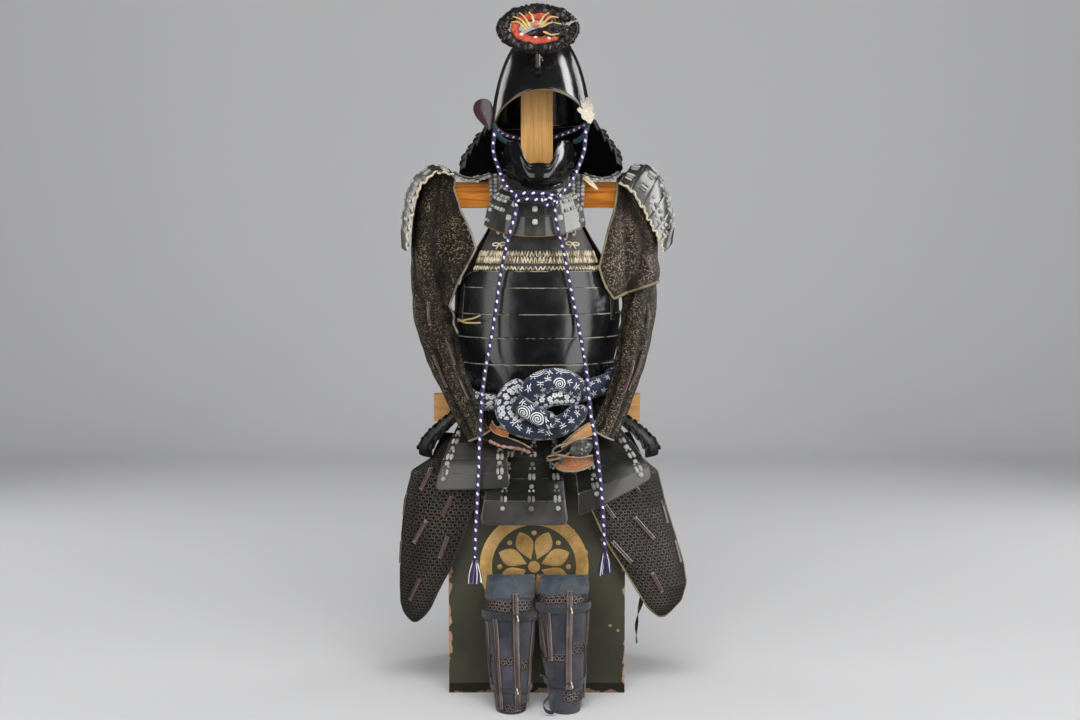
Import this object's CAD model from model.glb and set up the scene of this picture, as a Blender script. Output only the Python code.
"""Dresses the samurai armour, its wooden stand and its armour box for rendering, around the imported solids."""
import logging
import math
from collections.abc import Callable, Sequence
from dataclasses import dataclass, field
from enum import Enum
from typing import Any

import bpy
import numpy as np
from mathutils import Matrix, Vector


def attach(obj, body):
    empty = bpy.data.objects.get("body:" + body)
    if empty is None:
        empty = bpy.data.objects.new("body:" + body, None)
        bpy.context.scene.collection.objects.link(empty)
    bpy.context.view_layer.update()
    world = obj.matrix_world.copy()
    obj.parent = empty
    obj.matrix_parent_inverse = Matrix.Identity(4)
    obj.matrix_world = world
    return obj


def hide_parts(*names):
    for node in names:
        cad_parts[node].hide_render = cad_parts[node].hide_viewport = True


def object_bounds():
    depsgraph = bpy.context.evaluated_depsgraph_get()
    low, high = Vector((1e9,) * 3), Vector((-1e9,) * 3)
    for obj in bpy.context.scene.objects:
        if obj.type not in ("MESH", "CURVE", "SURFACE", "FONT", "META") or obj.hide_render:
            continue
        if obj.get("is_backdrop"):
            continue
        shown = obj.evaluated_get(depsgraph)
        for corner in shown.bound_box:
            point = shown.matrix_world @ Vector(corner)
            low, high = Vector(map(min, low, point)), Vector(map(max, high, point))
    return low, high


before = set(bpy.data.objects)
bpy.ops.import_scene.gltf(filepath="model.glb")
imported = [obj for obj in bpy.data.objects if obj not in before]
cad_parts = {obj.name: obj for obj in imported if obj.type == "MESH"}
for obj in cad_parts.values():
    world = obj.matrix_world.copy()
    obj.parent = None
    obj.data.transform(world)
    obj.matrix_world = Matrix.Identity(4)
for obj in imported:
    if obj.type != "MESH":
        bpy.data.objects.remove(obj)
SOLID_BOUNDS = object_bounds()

LOG = logging.getLogger("armour")
MM = 0.001
# how thick a wall is and how far its edges are rounded, in millimetres
LAME_WALL = (2.2, 0.6)
MAIL_WALL = (2.4, 0.8)
LEATHER_WALL = (2.8, 0.8)
CLOTH_WALL = (0.9, 0.3)
Array = np.ndarray
Surface = Callable[[Array, Array], Array]


# ------------------------------------------------------------ shapes
@dataclass
class Patch:
    """A mesh in millimetres: corners, quads and triangles with their own map, and two point attributes."""

    points: Array
    quads: Array
    quad_map: Array
    tris: Array
    tri_map: Array
    rim: Array
    tone: Array


def unit(vectors: Array) -> Array:
    """Returns the vectors divided by their lengths."""
    return vectors / np.maximum(np.linalg.norm(vectors, axis=-1, keepdims=True), 1e-9)


def smooth(t: Array) -> Array:
    """Returns t eased at both ends: three t squared less two t cubed, held between 0 and 1."""
    t = np.clip(t, 0, 1)
    return t * t * (3 - 2 * t)


def mix(a: Any, b: Any, t: Any) -> Any:
    """Returns the value a share t of the way from a to b."""
    return a + (b - a) * t


def tangents(path: Array) -> Array:
    """Returns the direction along a path at each point, from the points beside it."""
    return unit(np.gradient(path, axis=0))


def steps_along(points: Array, axis: int) -> Array:
    """Returns the distance run along one axis of a grid of points."""
    gaps = np.linalg.norm(np.diff(points, axis=axis), axis=-1)
    start = np.zeros_like(np.take(gaps, [0], axis=axis))
    return np.concatenate([start, np.cumsum(gaps, axis=axis)], axis=axis)


def grid_patch(grid: Array, ring: bool = False, poles: tuple[bool, bool] = (False, False),
               toward: Sequence[float] | None = None, tone: float = 0.5) -> Patch:
    """Makes a patch of a grid of points, rows by columns.

    The map runs in metres: across the columns and along the rows, by distance.

    Args:
        grid: the points, rows by columns by three.
        ring: whether the last column joins the first.
        poles: whether the first and the last row close to a point.
        toward: a direction that the faces look to; away from the middle without it.
        tone: the tone of every point.

    Returns:
        The patch, with its faces turned outwards.
    """
    rows, columns = grid.shape[:2]
    closed = np.concatenate([grid, grid[:, :1]], axis=1) if ring else grid
    across, along = steps_along(closed, 1), steps_along(closed, 0)
    wide = np.broadcast_to(across.mean(axis=0), across.shape)
    spots = np.stack([wide, np.broadcast_to(along.mean(axis=1, keepdims=True), along.shape)], -1) * MM
    r, c = np.meshgrid(np.arange(rows - 1), np.arange(closed.shape[1] - 1), indexing="ij")
    r, c = r.ravel(), c.ravel()
    corner = lambda dr, dc: (r + dr) * columns + (c + dc) % columns
    quads = np.stack([corner(0, 0), corner(0, 1), corner(1, 1), corner(1, 0)], -1)
    quad_map = np.stack([spots[r, c], spots[r, c + 1], spots[r + 1, c + 1], spots[r + 1, c]], 1)
    rim = np.minimum(along, along[-1] - along)
    if not ring:
        rim = np.minimum(rim, np.minimum(across, across[:, -1:] - across))
    points, rim = grid.reshape(-1, 3), rim[:, :columns].ravel()
    tris, tri_map = np.zeros((0, 3), int), np.zeros((0, 3, 2))
    for at_end, wanted in enumerate(poles):
        if not wanted:
            continue
        row = at_end * (rows - 1)
        first = row * columns + np.arange(columns)
        after = row * columns + (np.arange(columns) + 1) % columns
        tip = np.full(columns, len(points))
        fan = [tip, after, first] if not at_end else [tip, first, after]
        points = np.concatenate([points, grid[row].mean(axis=0, keepdims=True)])
        rim = np.append(rim, rim[first].mean())
        tris = np.concatenate([tris, np.stack(fan, -1)])
        side = spots[row, :columns]
        tri_map = np.concatenate([tri_map, np.stack([side, side, side], 1)])
    patch = Patch(points, quads, quad_map, tris, tri_map, rim, np.full(len(points), tone))
    a, b, d = points[quads[:, 0]], points[quads[:, 1]], points[quads[:, 3]]
    normal = np.cross(b - a, d - a)
    aim = np.asarray(toward, float) if toward is not None else a - points.mean(axis=0)
    if (normal * aim).sum() < 0:
        patch.quads, patch.quad_map = quads[:, ::-1], quad_map[:, ::-1]
        patch.tris, patch.tri_map = tris[:, ::-1], tri_map[:, ::-1]
    return patch


def joined(patches: Sequence[Patch]) -> Patch:
    """Returns one patch of all of them, with their corner numbers moved up in turn."""
    shifts = np.cumsum([0] + [len(p.points) for p in patches])
    every = lambda name: np.concatenate([getattr(p, name) for p in patches])
    moved = lambda name: np.concatenate([getattr(p, name) + s for p, s in zip(patches, shifts)])
    return Patch(every("points"), moved("quads"), every("quad_map"), moved("tris"), every("tri_map"),
                 every("rim"), every("tone"))


def even_grid(across: int, along: int) -> tuple[Array, Array]:
    """Returns u and v, from 0 to 1, at the corners of `along` rows and `across` columns of faces."""
    u, v = np.meshgrid(np.linspace(0, 1, across + 1), np.linspace(0, 1, along + 1))
    return u, v


def sampled(surface: Surface, across: int, along: int) -> Array:
    """Returns the surface's points at the corners of `along` rows and `across` columns of faces."""
    return surface(*even_grid(across, along))


def frames_on(surface: Surface, u: Array, v: Array, toward: Sequence[float]) -> tuple[Array, Array]:
    """Works out where small things stand on a surface.

    The frame's columns are the direction across, the direction along and the outward normal, from the
    differences of neighbouring points.

    Args:
        surface: the surface, a function of u and v.
        u: places across, from 0 to 1.
        v: places along, from 0 to 1.
        toward: a direction on the outer side.

    Returns:
        The points and the frames, one for each place.
    """
    u, v = np.broadcast_arrays(np.asarray(u, float), np.asarray(v, float))
    e = 1e-3
    points = surface(u, v)
    along_u = unit(surface(u + e, v) - surface(u - e, v))
    along_v = surface(u, v + e) - surface(u, v - e)
    normal = unit(np.cross(along_u, along_v))
    normal = np.where(((normal * np.asarray(toward, float)).sum(-1) < 0)[..., None], -normal, normal)
    return points, np.stack([along_u, unit(np.cross(normal, along_u)), normal], -1)


def scattered(shape: Patch, points: Array, frames: Array, tones: Array | float = 0.5,
              sizes: Array | float = 1.0) -> Patch:
    """Repeats a small shape.

    Args:
        shape: the shape, about the origin.
        points: where each copy stands.
        frames: each copy's axes as columns.
        tones: each copy's tone.
        sizes: each copy's size.

    Returns:
        One patch of all the copies.
    """
    points, frames = points.reshape(-1, 3), frames.reshape(-1, 3, 3)
    count, size = len(points), len(shape.points)
    sizes, tones = np.broadcast_to(sizes, count), np.broadcast_to(tones, count)
    turned = np.einsum("nij,pj->npi", frames * sizes[:, None, None], shape.points) + points[:, None]
    shift = (np.arange(count) * size)[:, None, None]
    repeat = lambda values: np.tile(values, (count,) + (1,) * (values.ndim - 1))
    return Patch(turned.reshape(-1, 3), (shape.quads + shift).reshape(-1, 4), repeat(shape.quad_map),
                 (shape.tris + shift).reshape(-1, 3), repeat(shape.tri_map), repeat(shape.rim),
                 np.repeat(tones, size))


def lump(shape: Patch, at: Any, tone: float = 0.5, size: float = 1.0) -> Patch:
    """Returns one upright copy of a small shape at a place."""
    return scattered(shape, np.asarray(at, float), np.eye(3), tone, size)


def pebble(wide: float, tall: float, deep: float, square: float = 1.0, sides: int = 8,
           rings: int = 5) -> Patch:
    """Makes an egg-shaped lump about the origin: sine and cosine of two angles, each to a power.

    Args:
        wide: half its size across.
        tall: half its size along.
        deep: half its size outwards.
        square: the power, 1 for an ellipsoid and less for a boxier lump.
        sides: faces round it.
        rings: faces from pole to pole.

    Returns:
        The closed patch.
    """
    power = lambda t: np.sign(t) * np.abs(t) ** square
    turn = np.arange(sides) * 2 * math.pi / sides
    tip = np.linspace(-math.pi / 2, math.pi / 2, rings + 1)[1:-1]
    turn, tip = np.meshgrid(turn, tip)
    x, y = power(np.cos(tip)) * power(np.cos(turn)) * wide, power(np.cos(tip)) * power(np.sin(turn)) * tall
    grid = np.stack([x, y, power(np.sin(tip)) * deep], -1)
    return grid_patch(grid, ring=True, poles=(True, True))


def curve_through(points: Sequence[Sequence[float]], count: int) -> Array:
    """Returns evenly spaced points on a smooth curve through the given ones.

    The curve is a cubic between each pair, whose slope at each point is that of the line past it, weighted
    by the square root of the gaps.

    Args:
        points: the points that the curve passes through.
        count: how many points to return.

    Returns:
        The points, count by three.
    """
    p = np.asarray(points, float)
    gap = np.sqrt(np.linalg.norm(np.diff(p, axis=0), axis=1))
    knots = np.concatenate([[0], np.cumsum(gap)])
    chord = np.diff(p, axis=0) / gap[:, None]
    inner = (chord[:-1] * gap[1:, None] + chord[1:] * gap[:-1, None]) / (gap[:-1] + gap[1:])[:, None]
    slope = np.concatenate([chord[:1], inner, chord[-1:]])
    at = np.linspace(0, knots[-1], count * 8)
    i = np.clip(np.searchsorted(knots, at, side="right") - 1, 0, len(p) - 2)
    t = ((at - knots[i]) / gap[i])[:, None]
    g = gap[i][:, None]
    fine = ((2 * t**3 - 3 * t**2 + 1) * p[i] + (t**3 - 2 * t**2 + t) * g * slope[i]
            + (3 * t**2 - 2 * t**3) * p[i + 1] + (t**3 - t**2) * g * slope[i + 1])
    run = steps_along(fine, 0)
    even = np.linspace(0, run[-1], count)
    return np.stack([np.interp(even, run, fine[:, k]) for k in range(3)], -1)


def frames_along(path: Array, side: Sequence[float]) -> tuple[Array, Array, Array]:
    """Returns the path's tangents, and two directions square to each, the first square to `side` too."""
    tangent = tangents(path)
    first = unit(np.cross(np.asarray(side, float), tangent))
    return tangent, first, np.cross(tangent, first)


def tube(path: Array, radius: Array | float, sides: int = 12, side: Sequence[float] = (0, 1, 0),
         flat: float = 1.0, ends: float = 0.0, tone: float = 0.5, twist: float = 0.0) -> Patch:
    """Makes a closed tube along a path: each point's circle, of its radius, square to the path.

    Args:
        path: the points that it follows.
        radius: its radius, all along or at each point.
        sides: faces round it.
        side: a direction that the path never takes.
        flat: the share of the radius along the second direction.
        ends: how far its ends are rounded off, in radii.
        tone: the tone of every point.
        twist: turns of the section from start to end.

    Returns:
        The closed patch, with the map's second coordinate along the path.
    """
    _, first, second = frames_along(path, side)
    radius = np.broadcast_to(radius, len(path)).astype(float)
    if ends:
        run = steps_along(path, 0)
        left = np.minimum(run, run[-1] - run) / (ends * radius.max())
        radius = radius * np.sqrt(np.clip(1 - np.clip(1 - left, 0, 1) ** 2, 0.02, 1))
    turn = np.arange(sides) * 2 * math.pi / sides + np.linspace(0, twist * 2 * math.pi, len(path))[:, None]
    ring = np.cos(turn)[..., None] * first[:, None] + np.sin(turn)[..., None] * second[:, None] * flat
    return grid_patch(path[:, None] + radius[:, None, None] * ring, ring=True,
                      poles=(True, True), tone=tone)


def row_at(table: Sequence[Sequence[float]], key: Array) -> list[Array]:
    """Returns each later column of a table at the first column's value, straight between its rows."""
    rows = np.asarray(sorted(table), float)
    return [np.interp(key, rows[:, 0], rows[:, k]) for k in range(1, rows.shape[1])]


def noise(x: Array, y: Array, seed: int = 0, scale: float = 1.0) -> Array:
    """Returns soft waves from -1 to 1: the mean of four sine waves whose directions depend on the seed."""
    rng = np.random.default_rng(seed)
    total = np.zeros(np.broadcast(x, y).shape)
    for _ in range(4):
        a, b, c = rng.uniform(-2.2, 2.2), rng.uniform(-2.2, 2.2), rng.uniform(0, 6.3)
        total = total + np.sin(scale * (a * x + b * y) + c)
    return total / 4


# ------------------------------------------------------------ finishes
class Shade:
    """Wires the nodes of one material."""

    def __init__(self, name: str) -> None:
        """Starts a material with its main shader."""
        self.material = bpy.data.materials.new(name)
        self.material.use_nodes = True
        self.tree = self.material.node_tree
        self.main = next(n for n in self.tree.nodes if n.type == "BSDF_PRINCIPLED")

    def feed(self, socket: Any, value: Any) -> None:
        """Links a socket to another, or sets its value."""
        if isinstance(value, bpy.types.NodeSocket):
            self.tree.links.new(value, socket)
        elif isinstance(value, (tuple, list)) and len(value) == 3 and socket.type == "RGBA":
            socket.default_value = (*value, 1.0)
        else:
            socket.default_value = value

    def node(self, kind: str, settings: dict[str, Any] | None = None, **inputs: Any) -> Any:
        """Adds a node, with its settings and its inputs by name or by number, as in in_0."""
        made = self.tree.nodes.new(f"ShaderNode{kind}")
        for key, value in (settings or {}).items():
            setattr(made, key, value)
        for key, value in inputs.items():
            name = int(key[3:]) if key.startswith("in_") else key.replace("_", " ")
            self.feed(made.inputs[name], value)
        return made

    def place(self, mapped: bool = False) -> Any:
        """Returns the object coordinates, or the piece's own map."""
        return self.node("TexCoord").outputs["UV" if mapped else "Object"]

    def mark(self, name: str) -> Any:
        """Returns a point attribute's value."""
        return self.node("Attribute", {"attribute_name": name}).outputs["Fac"]

    def scaled(self, vector: Any, scale: Sequence[float], turn: float = 0.0) -> Any:
        """Returns the coordinates stretched and turned."""
        made = self.node("Mapping", None, Vector=vector, Scale=tuple(scale))
        made.inputs["Rotation"].default_value = (0, 0, turn)
        return made.outputs[0]

    def cloud(self, vector: Any, scale: float, detail: float = 3.0, rough: float = 0.55) -> Any:
        """Returns soft noise from 0 to 1."""
        return self.node("TexNoise", None, Vector=vector, Scale=scale, Detail=detail,
                         Roughness=rough).outputs[0]

    def cells(self, vector: Any, scale: float, kind: str = "F1", random: float = 1.0) -> Any:
        """Returns a cell pattern's node."""
        return self.node("TexVoronoi", {"feature": kind}, Vector=vector, Scale=scale, Randomness=random)

    def compute(self, kind: str, a: Any, b: Any = 0.0, clamp: bool = False) -> Any:
        """Returns one step of arithmetic."""
        made = self.node("Math", {"operation": kind, "use_clamp": clamp})
        self.feed(made.inputs[0], a)
        self.feed(made.inputs[1], b)
        return made.outputs[0]

    def times(self, a: Any, b: Any) -> Any:
        """Returns a times b."""
        return self.compute("MULTIPLY", a, b)

    def plus(self, a: Any, b: Any) -> Any:
        """Returns a plus b."""
        return self.compute("ADD", a, b)

    def less(self, a: Any, b: Any, clamp: bool = False) -> Any:
        """Returns a less b, held between 0 and 1 if asked."""
        return self.compute("SUBTRACT", a, b, clamp)

    def size(self, a: Any) -> Any:
        """Returns a without its sign."""
        return self.compute("ABSOLUTE", a)

    def most(self, a: Any, b: Any) -> Any:
        """Returns the larger of a and b."""
        return self.compute("MAXIMUM", a, b)

    def least(self, a: Any, b: Any) -> Any:
        """Returns the smaller of a and b."""
        return self.compute("MINIMUM", a, b)

    def reach(self, x: Any, y: Any) -> Any:
        """Returns the distance of (x, y) from the origin: the root of x squared plus y squared."""
        return self.compute("SQRT", self.plus(self.times(x, x), self.times(y, y)))

    def vector(self, kind: str, a: Any, b: Any = (0.0, 0.0, 0.0), output: int = 0) -> Any:
        """Returns one step of arithmetic on vectors."""
        made = self.node("VectorMath", {"operation": kind})
        self.feed(made.inputs[0], a)
        if isinstance(b, (int, float)):
            made.inputs["Scale"].default_value = b
        else:
            self.feed(made.inputs[1], b)
        return made.outputs[output]

    def ease(self, value: Any, low: float, high: float, start: float = 0.0, end: float = 1.0) -> Any:
        """Returns a smooth step from `start` at `low` to `end` at `high`."""
        made = self.node("MapRange", {"interpolation_type": "SMOOTHSTEP"})
        for socket, number in zip(made.inputs, (value, low, high, start, end)):
            self.feed(socket, number)
        return made.outputs[0]

    def blend(self, share: Any, a: Any, b: Any) -> Any:
        """Returns a colour a share of the way from a to b."""
        made = self.node("Mix", {"data_type": "RGBA"})
        self.feed(made.inputs[0], share)
        self.feed(made.inputs[6], a)
        self.feed(made.inputs[7], b)
        return made.outputs[2]

    def ramp(self, value: Any, stops: Sequence[tuple[float, Sequence[float]]]) -> Any:
        """Returns a colour from a ramp of stops."""
        made = self.node("ValToRGB", None, Fac=value)
        points = made.color_ramp.elements
        while len(points) < len(stops):
            points.new(0.5)
        for point, (place, color) in zip(points, stops):
            point.position, point.color = place, (*color, 1.0)
        return made.outputs[0]

    def bump(self, height: Any, distance: float, strength: float = 1.0, over: Any = None) -> Any:
        """Returns a normal raised by a height, in metres at full height."""
        made = self.node("Bump", None, Height=height, Distance=distance, Strength=strength)
        if over is not None:
            self.feed(made.inputs["Normal"], over)
        return made.outputs[0]

    def split(self, vector: Any) -> tuple[Any, Any, Any]:
        """Returns a vector's three parts."""
        made = self.node("SeparateXYZ", None, in_0=vector)
        return made.outputs[0], made.outputs[1], made.outputs[2]

    def done(self, **inputs: Any) -> bpy.types.Material:
        """Feeds the main shader by socket name and returns the material."""
        for key, value in inputs.items():
            self.feed(self.main.inputs[key.replace("_", " ")], value)
        return self.material


@dataclass(frozen=True)
class Finish:
    """A finish; each kind builds its own material once."""

    name: str

    def material(self) -> bpy.types.Material:
        """Returns the finish's material, made on first use."""
        found = bpy.data.materials.get(self.name)
        return found or self.make(Shade(self.name))

    def make(self, s: Shade) -> bpy.types.Material:
        """Wires the material."""
        raise NotImplementedError


Color = tuple[float, float, float]


@dataclass(frozen=True)
class Lacquer(Finish):
    """Brushed lacquer: long brush waves, fine scratches, dust, and edges worn through."""

    color: Color = (0.0065, 0.0065, 0.0075)
    worn: Color = (0.30, 0.25, 0.19)
    dusty: Color = (0.045, 0.040, 0.034)
    rough: float = 0.2
    reach: float = 2.6
    dust: float = 0.3
    coat: float = 0.35
    gloss: float = 0.55

    def make(self, s: Shade) -> bpy.types.Material:
        """Mixes dust by clouds and wear by the distance to the rim, both broken up by noise."""
        place = s.place()
        broad, streaks = s.cloud(place, 11, 4), s.cloud(s.scaled(place, (420, 420, 14)), 1.0, 4, 0.7)
        dust = s.times(s.ease(broad, 0.42, 0.75), self.dust)
        near = s.less(s.times(s.cloud(place, 95, 5, 0.75), self.reach * 2), s.mark("rim"))
        worn = s.times(s.ease(near, self.reach * 0.2, self.reach * 0.75),
                       s.ease(s.cloud(place, 31), 0.38, 0.55))
        scratch = s.times(s.ease(streaks, 0.66, 0.78), 0.18)
        color = s.blend(scratch, s.blend(dust, self.color, self.dusty), self.worn)
        color = s.blend(worn, color, self.worn)
        rough = s.plus(s.ease(broad, 0.3, 0.75, self.rough * 0.8, self.rough * 1.5), s.times(worn, 0.35))
        waves = s.bump(s.cloud(place, 26, 2), 0.0022, 0.5)
        skin = s.bump(s.cloud(place, 330, 3), 0.00018, 0.6, waves)
        return s.done(Base_Color=color, Roughness=rough, Normal=skin, Coat_Weight=self.coat,
                      Coat_Roughness=0.12, Specular_IOR_Level=self.gloss)


@dataclass(frozen=True)
class BoxLacquer(Finish):
    """The storage box's dark olive lacquer, rubbed at the corners and chipped to the pink-tan ground."""

    half: tuple[float, float, float] = (0.193, 0.170, 0.49)
    color: Color = (0.056, 0.053, 0.033)
    shade: Color = (0.036, 0.034, 0.022)
    chip: Color = (0.50, 0.29, 0.18)

    def make(self, s: Shade) -> bpy.types.Material:
        """Finds corners as where two faces are near, and chips as rare cells."""
        place = s.place()
        x, y, z = s.split(place)
        from_x = s.less(self.half[0], s.size(x))
        from_y = s.less(self.half[1], s.size(y))
        side = s.most(s.size(from_x), s.size(from_y))
        upper = s.size(s.less(self.half[2], z))
        hem = s.least(upper, s.size(s.less(z, 0.002)))
        corner = s.least(side, hem)
        ragged = s.times(s.cloud(place, 95, 6, 0.8), s.ease(s.cloud(place, 23, 3), 0.46, 0.64,
                                                            0.003, 0.019))
        rubbed = s.ease(s.less(ragged, corner), 0.0008, 0.0020)
        cells = s.cells(s.vector("ADD", place,
                                 s.vector("SCALE", s.node("TexNoise", None, Vector=place, Scale=150.0)
                                                        .outputs[1], 0.012)), 30)
        rare = s.ease(s.split(cells.outputs["Color"])[0], 0.30, 0.32)
        size = s.ease(s.split(cells.outputs["Color"])[1], 0.0, 1.0, 0.02, 0.17)
        chips = s.times(rare, s.ease(s.less(size, cells.outputs["Distance"]), 0.0, 0.02))
        wear = s.most(rubbed, chips)
        broad = s.cloud(place, 6, 5, 0.6)
        color = s.blend(s.ease(broad, 0.36, 0.68), self.color, self.shade)
        color = s.blend(wear, color, s.blend(s.cloud(place, 160), self.chip, (0.22, 0.13, 0.08)))
        scuff = s.ease(s.cloud(s.scaled(place, (60, 60, 900)), 1.0, 3, 0.7), 0.68, 0.80, 0.0, 0.12)
        color = s.blend(scuff, color, (0.16, 0.14, 0.10))
        rough = s.plus(s.ease(broad, 0.3, 0.7, 0.34, 0.52), s.times(wear, 0.3))
        dents = s.bump(s.cloud(place, 34, 3), 0.0011, 0.35)
        return s.done(Base_Color=color, Roughness=rough, Normal=s.bump(wear, -0.0006, 0.9, dents),
                      Specular_IOR_Level=0.42)


@dataclass(frozen=True)
class GoldLacquer(Finish):
    """Sprinkled gold on lacquer, rubbed through in spots and lines."""

    def make(self, s: Shade) -> bpy.types.Material:
        """Blends two golds by clouds and shows the brown ground in worn spots."""
        place = s.place()
        tone = s.cloud(place, 22, 5, 0.7)
        gold = s.ramp(tone, [(0.3, (0.30, 0.17, 0.05)), (0.5, (0.52, 0.31, 0.10)),
                             (0.7, (0.66, 0.44, 0.18))])
        spots = s.ease(s.cloud(place, 75, 4, 0.75), 0.63, 0.70)
        lines = s.ease(s.cloud(s.scaled(place, (30, 30, 260)), 1.0, 4, 0.7), 0.68, 0.76)
        worn = s.most(spots, s.times(lines, 0.8))
        color = s.blend(worn, gold, (0.07, 0.035, 0.015))
        grain = s.bump(s.cloud(place, 900, 2), 0.0002, 0.7)
        return s.done(Base_Color=color, Roughness=s.plus(s.times(tone, 0.2), 0.38), Normal=grain,
                      Metallic=0.45)


class Grain(Enum):
    """The axis that the wood's grain follows, as the stretch of its pattern."""

    UPRIGHT = (52.0, 52.0, 2.2)
    SIDEWAYS = (2.6, 52.0, 52.0)


@dataclass(frozen=True)
class Wood(Finish):
    """Planed softwood: growth lines along the board, pores, a few darker stains."""

    grain: Grain = Grain.UPRIGHT
    pale: Color = (0.66, 0.375, 0.125)
    dark: Color = (0.45, 0.215, 0.058)
    rough: float = 0.5
    coat: float = 0.0

    def make(self, s: Shade) -> bpy.types.Material:
        """Draws growth lines as waves of warped noise stretched along the grain."""
        place = s.place()
        stretched = s.scaled(place, self.grain.value)
        lines = s.compute("SINE", s.times(s.cloud(stretched, 1.0, 2.5, 0.5), 46.0))
        fine = s.cloud(s.scaled(place, tuple(v * 14 for v in self.grain.value)), 1.0, 3, 0.7)
        tone = s.plus(s.times(lines, 0.13), s.times(fine, 0.78))
        color = s.blend(s.ease(tone, 0.1, 0.72), self.pale, self.dark)
        color = s.blend(s.ease(s.cloud(place, 9, 4), 0.55, 0.8, 0.0, 0.35), color, self.dark)
        bump = s.bump(tone, 0.0003, 0.5)
        return s.done(Base_Color=color, Roughness=s.ease(fine, 0.3, 0.8, self.rough, self.rough + 0.15),
                      Normal=bump, Coat_Weight=self.coat, Coat_Roughness=0.15)


@dataclass(frozen=True)
class Leather(Finish):
    """Leather with a pebbled grain, darker in its creases and rubbed pale on its high places."""

    color: Color = (0.055, 0.052, 0.048)
    rubbed: Color = (0.21, 0.195, 0.172)
    grain: float = 560.0
    rough: float = 0.5
    marked: float = 0.35

    def make(self, s: Shade) -> bpy.types.Material:
        """Raises the grain as cells and rubs it by clouds."""
        place = s.place()
        cells = s.cells(place, self.grain).outputs["Distance"]
        broad = s.cloud(place, 17, 5, 0.65)
        rub = s.times(s.ease(cells, 0.45, 0.1), s.ease(broad, 0.35, 0.7, 0.1, self.marked * 2))
        color = s.blend(rub, s.blend(s.ease(broad, 0.6, 0.35), self.color,
                                     tuple(c * 0.45 for c in self.color)), self.rubbed)
        edge = s.ease(s.mark("rim"), 1.8, 0.4, 0.0, 0.6)
        color = s.blend(edge, color, self.rubbed)
        folds = s.bump(s.cloud(place, 48, 3), 0.0016, 0.4)
        return s.done(Base_Color=color, Roughness=s.ease(broad, 0.3, 0.7, self.rough, self.rough + 0.18),
                      Normal=s.bump(cells, -0.0004, 0.8, folds))


@dataclass(frozen=True)
class Mail(Finish):
    """Blackened iron mail on dark cloth: flat rings on a square lattice, joined by upright oval links."""

    pitch: float = 0.0056
    ring: Color = (0.017, 0.012, 0.009)
    glint: Color = (0.50, 0.38, 0.22)
    cloth: Color = (0.0035, 0.0028, 0.0025)
    wire: float = 1.0
    sparkle: tuple[float, float] = (0.10, 0.75)

    def hoop(self, s: Shade, place: Any, shift: tuple[float, float], radius: float, wire: float,
             squash: float) -> Any:
        """Returns the height of a hoop in each cell: highest where the distance is the radius."""
        made = s.node("Mapping", {"vector_type": "POINT"}, Vector=place, Location=(*shift, 0.0),
                      Scale=(1 / self.pitch, 1 / self.pitch, 0.0))
        cell = s.vector("SUBTRACT", s.vector("FRACTION", made.outputs[0]), (0.5, 0.5, 0.0))
        out = s.vector("LENGTH", s.vector("MULTIPLY", cell, (1.0, squash, 0.0)), output=1)
        gap = s.size(s.less(out, radius))
        return s.ease(gap, wire, wire * 0.25)

    def make(self, s: Shade) -> bpy.types.Material:
        """Lays the rings and links on the map and colours them by height and by clouds of rust."""
        place, spot = s.place(), s.place(mapped=True)
        flat = self.hoop(s, spot, (0.0, 0.0), 0.31, 0.15 * self.wire, 1.0)
        link = self.hoop(s, spot, (0.5, 0.0), 0.17, 0.13 * self.wire, 0.62)
        cross = self.hoop(s, spot, (0.0, 0.5), 0.17, 0.13 * self.wire, 1.0)
        wire = s.most(flat, s.times(s.most(link, cross), 0.8))
        patina = s.cloud(place, 13, 5, 0.7)
        dots = s.cells(spot, 300)
        each = s.ease(s.split(dots.outputs["Color"])[0], 0.0, 1.0, 0.35, 1.0)
        speck = s.times(each, s.ease(dots.outputs["Distance"], 0.62, 0.22))
        bright = s.times(s.ease(patina, 0.32, 0.62, 0.30, 1.0), s.ease(speck, *self.sparkle))
        color = s.blend(wire, self.cloth, s.blend(bright, self.ring, self.glint))
        color = s.blend(s.ease(s.mark("tone"), 0.1, 0.9, 0.18, 1.0), self.cloth, color)
        rough = s.ease(wire, 0.2, 0.9, 0.85, 0.38)
        folds = s.bump(s.cloud(place, 30, 3), 0.0030, 0.35)
        return s.done(Base_Color=color, Roughness=rough, Metallic=s.times(wire, 0.35),
                      Normal=s.bump(wire, 0.0011, 0.9, folds))


@dataclass(frozen=True)
class Weave(Finish):
    """Plain-woven dyed cloth, faded in patches and worn on its creases."""

    color: Color = (0.019, 0.022, 0.034)
    faded: Color = (0.062, 0.067, 0.088)
    thread: float = 0.0011
    fade_scale: float = 14.0

    def threads(self, s: Shade, spot: Any) -> Any:
        """Returns the weave's height: crossed sine waves along the map."""
        u, v, _ = s.split(spot)
        turns = 2 * math.pi / self.thread / 2
        wave = lambda part: s.compute("SINE", s.times(part, turns))
        return s.times(wave(u), wave(v))

    def make(self, s: Shade) -> bpy.types.Material:
        """Blends dye and fading by clouds and slubs, and raises the threads."""
        place, spot = s.place(), s.place(mapped=True)
        broad = s.cloud(place, self.fade_scale, 5, 0.62)
        slub = s.cloud(s.scaled(spot, (130, 1700, 1)), 1.0, 3, 0.6)
        tone = s.plus(s.times(broad, 0.7), s.times(slub, 0.3))
        color = s.blend(s.ease(tone, 0.38, 0.62), self.color, self.faded)
        color = s.blend(s.ease(s.mark("rim"), 3.0, 0.5, 0.0, 0.5), color, self.faded)
        wrinkles = s.bump(s.cloud(place, 55, 4, 0.6), 0.0022, 0.5)
        return s.done(Base_Color=color, Roughness=0.88, Sheen_Weight=0.25, Sheen_Roughness=0.5,
                      Normal=s.bump(self.threads(s, spot), 0.0003, 0.7, wrinkles))


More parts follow.
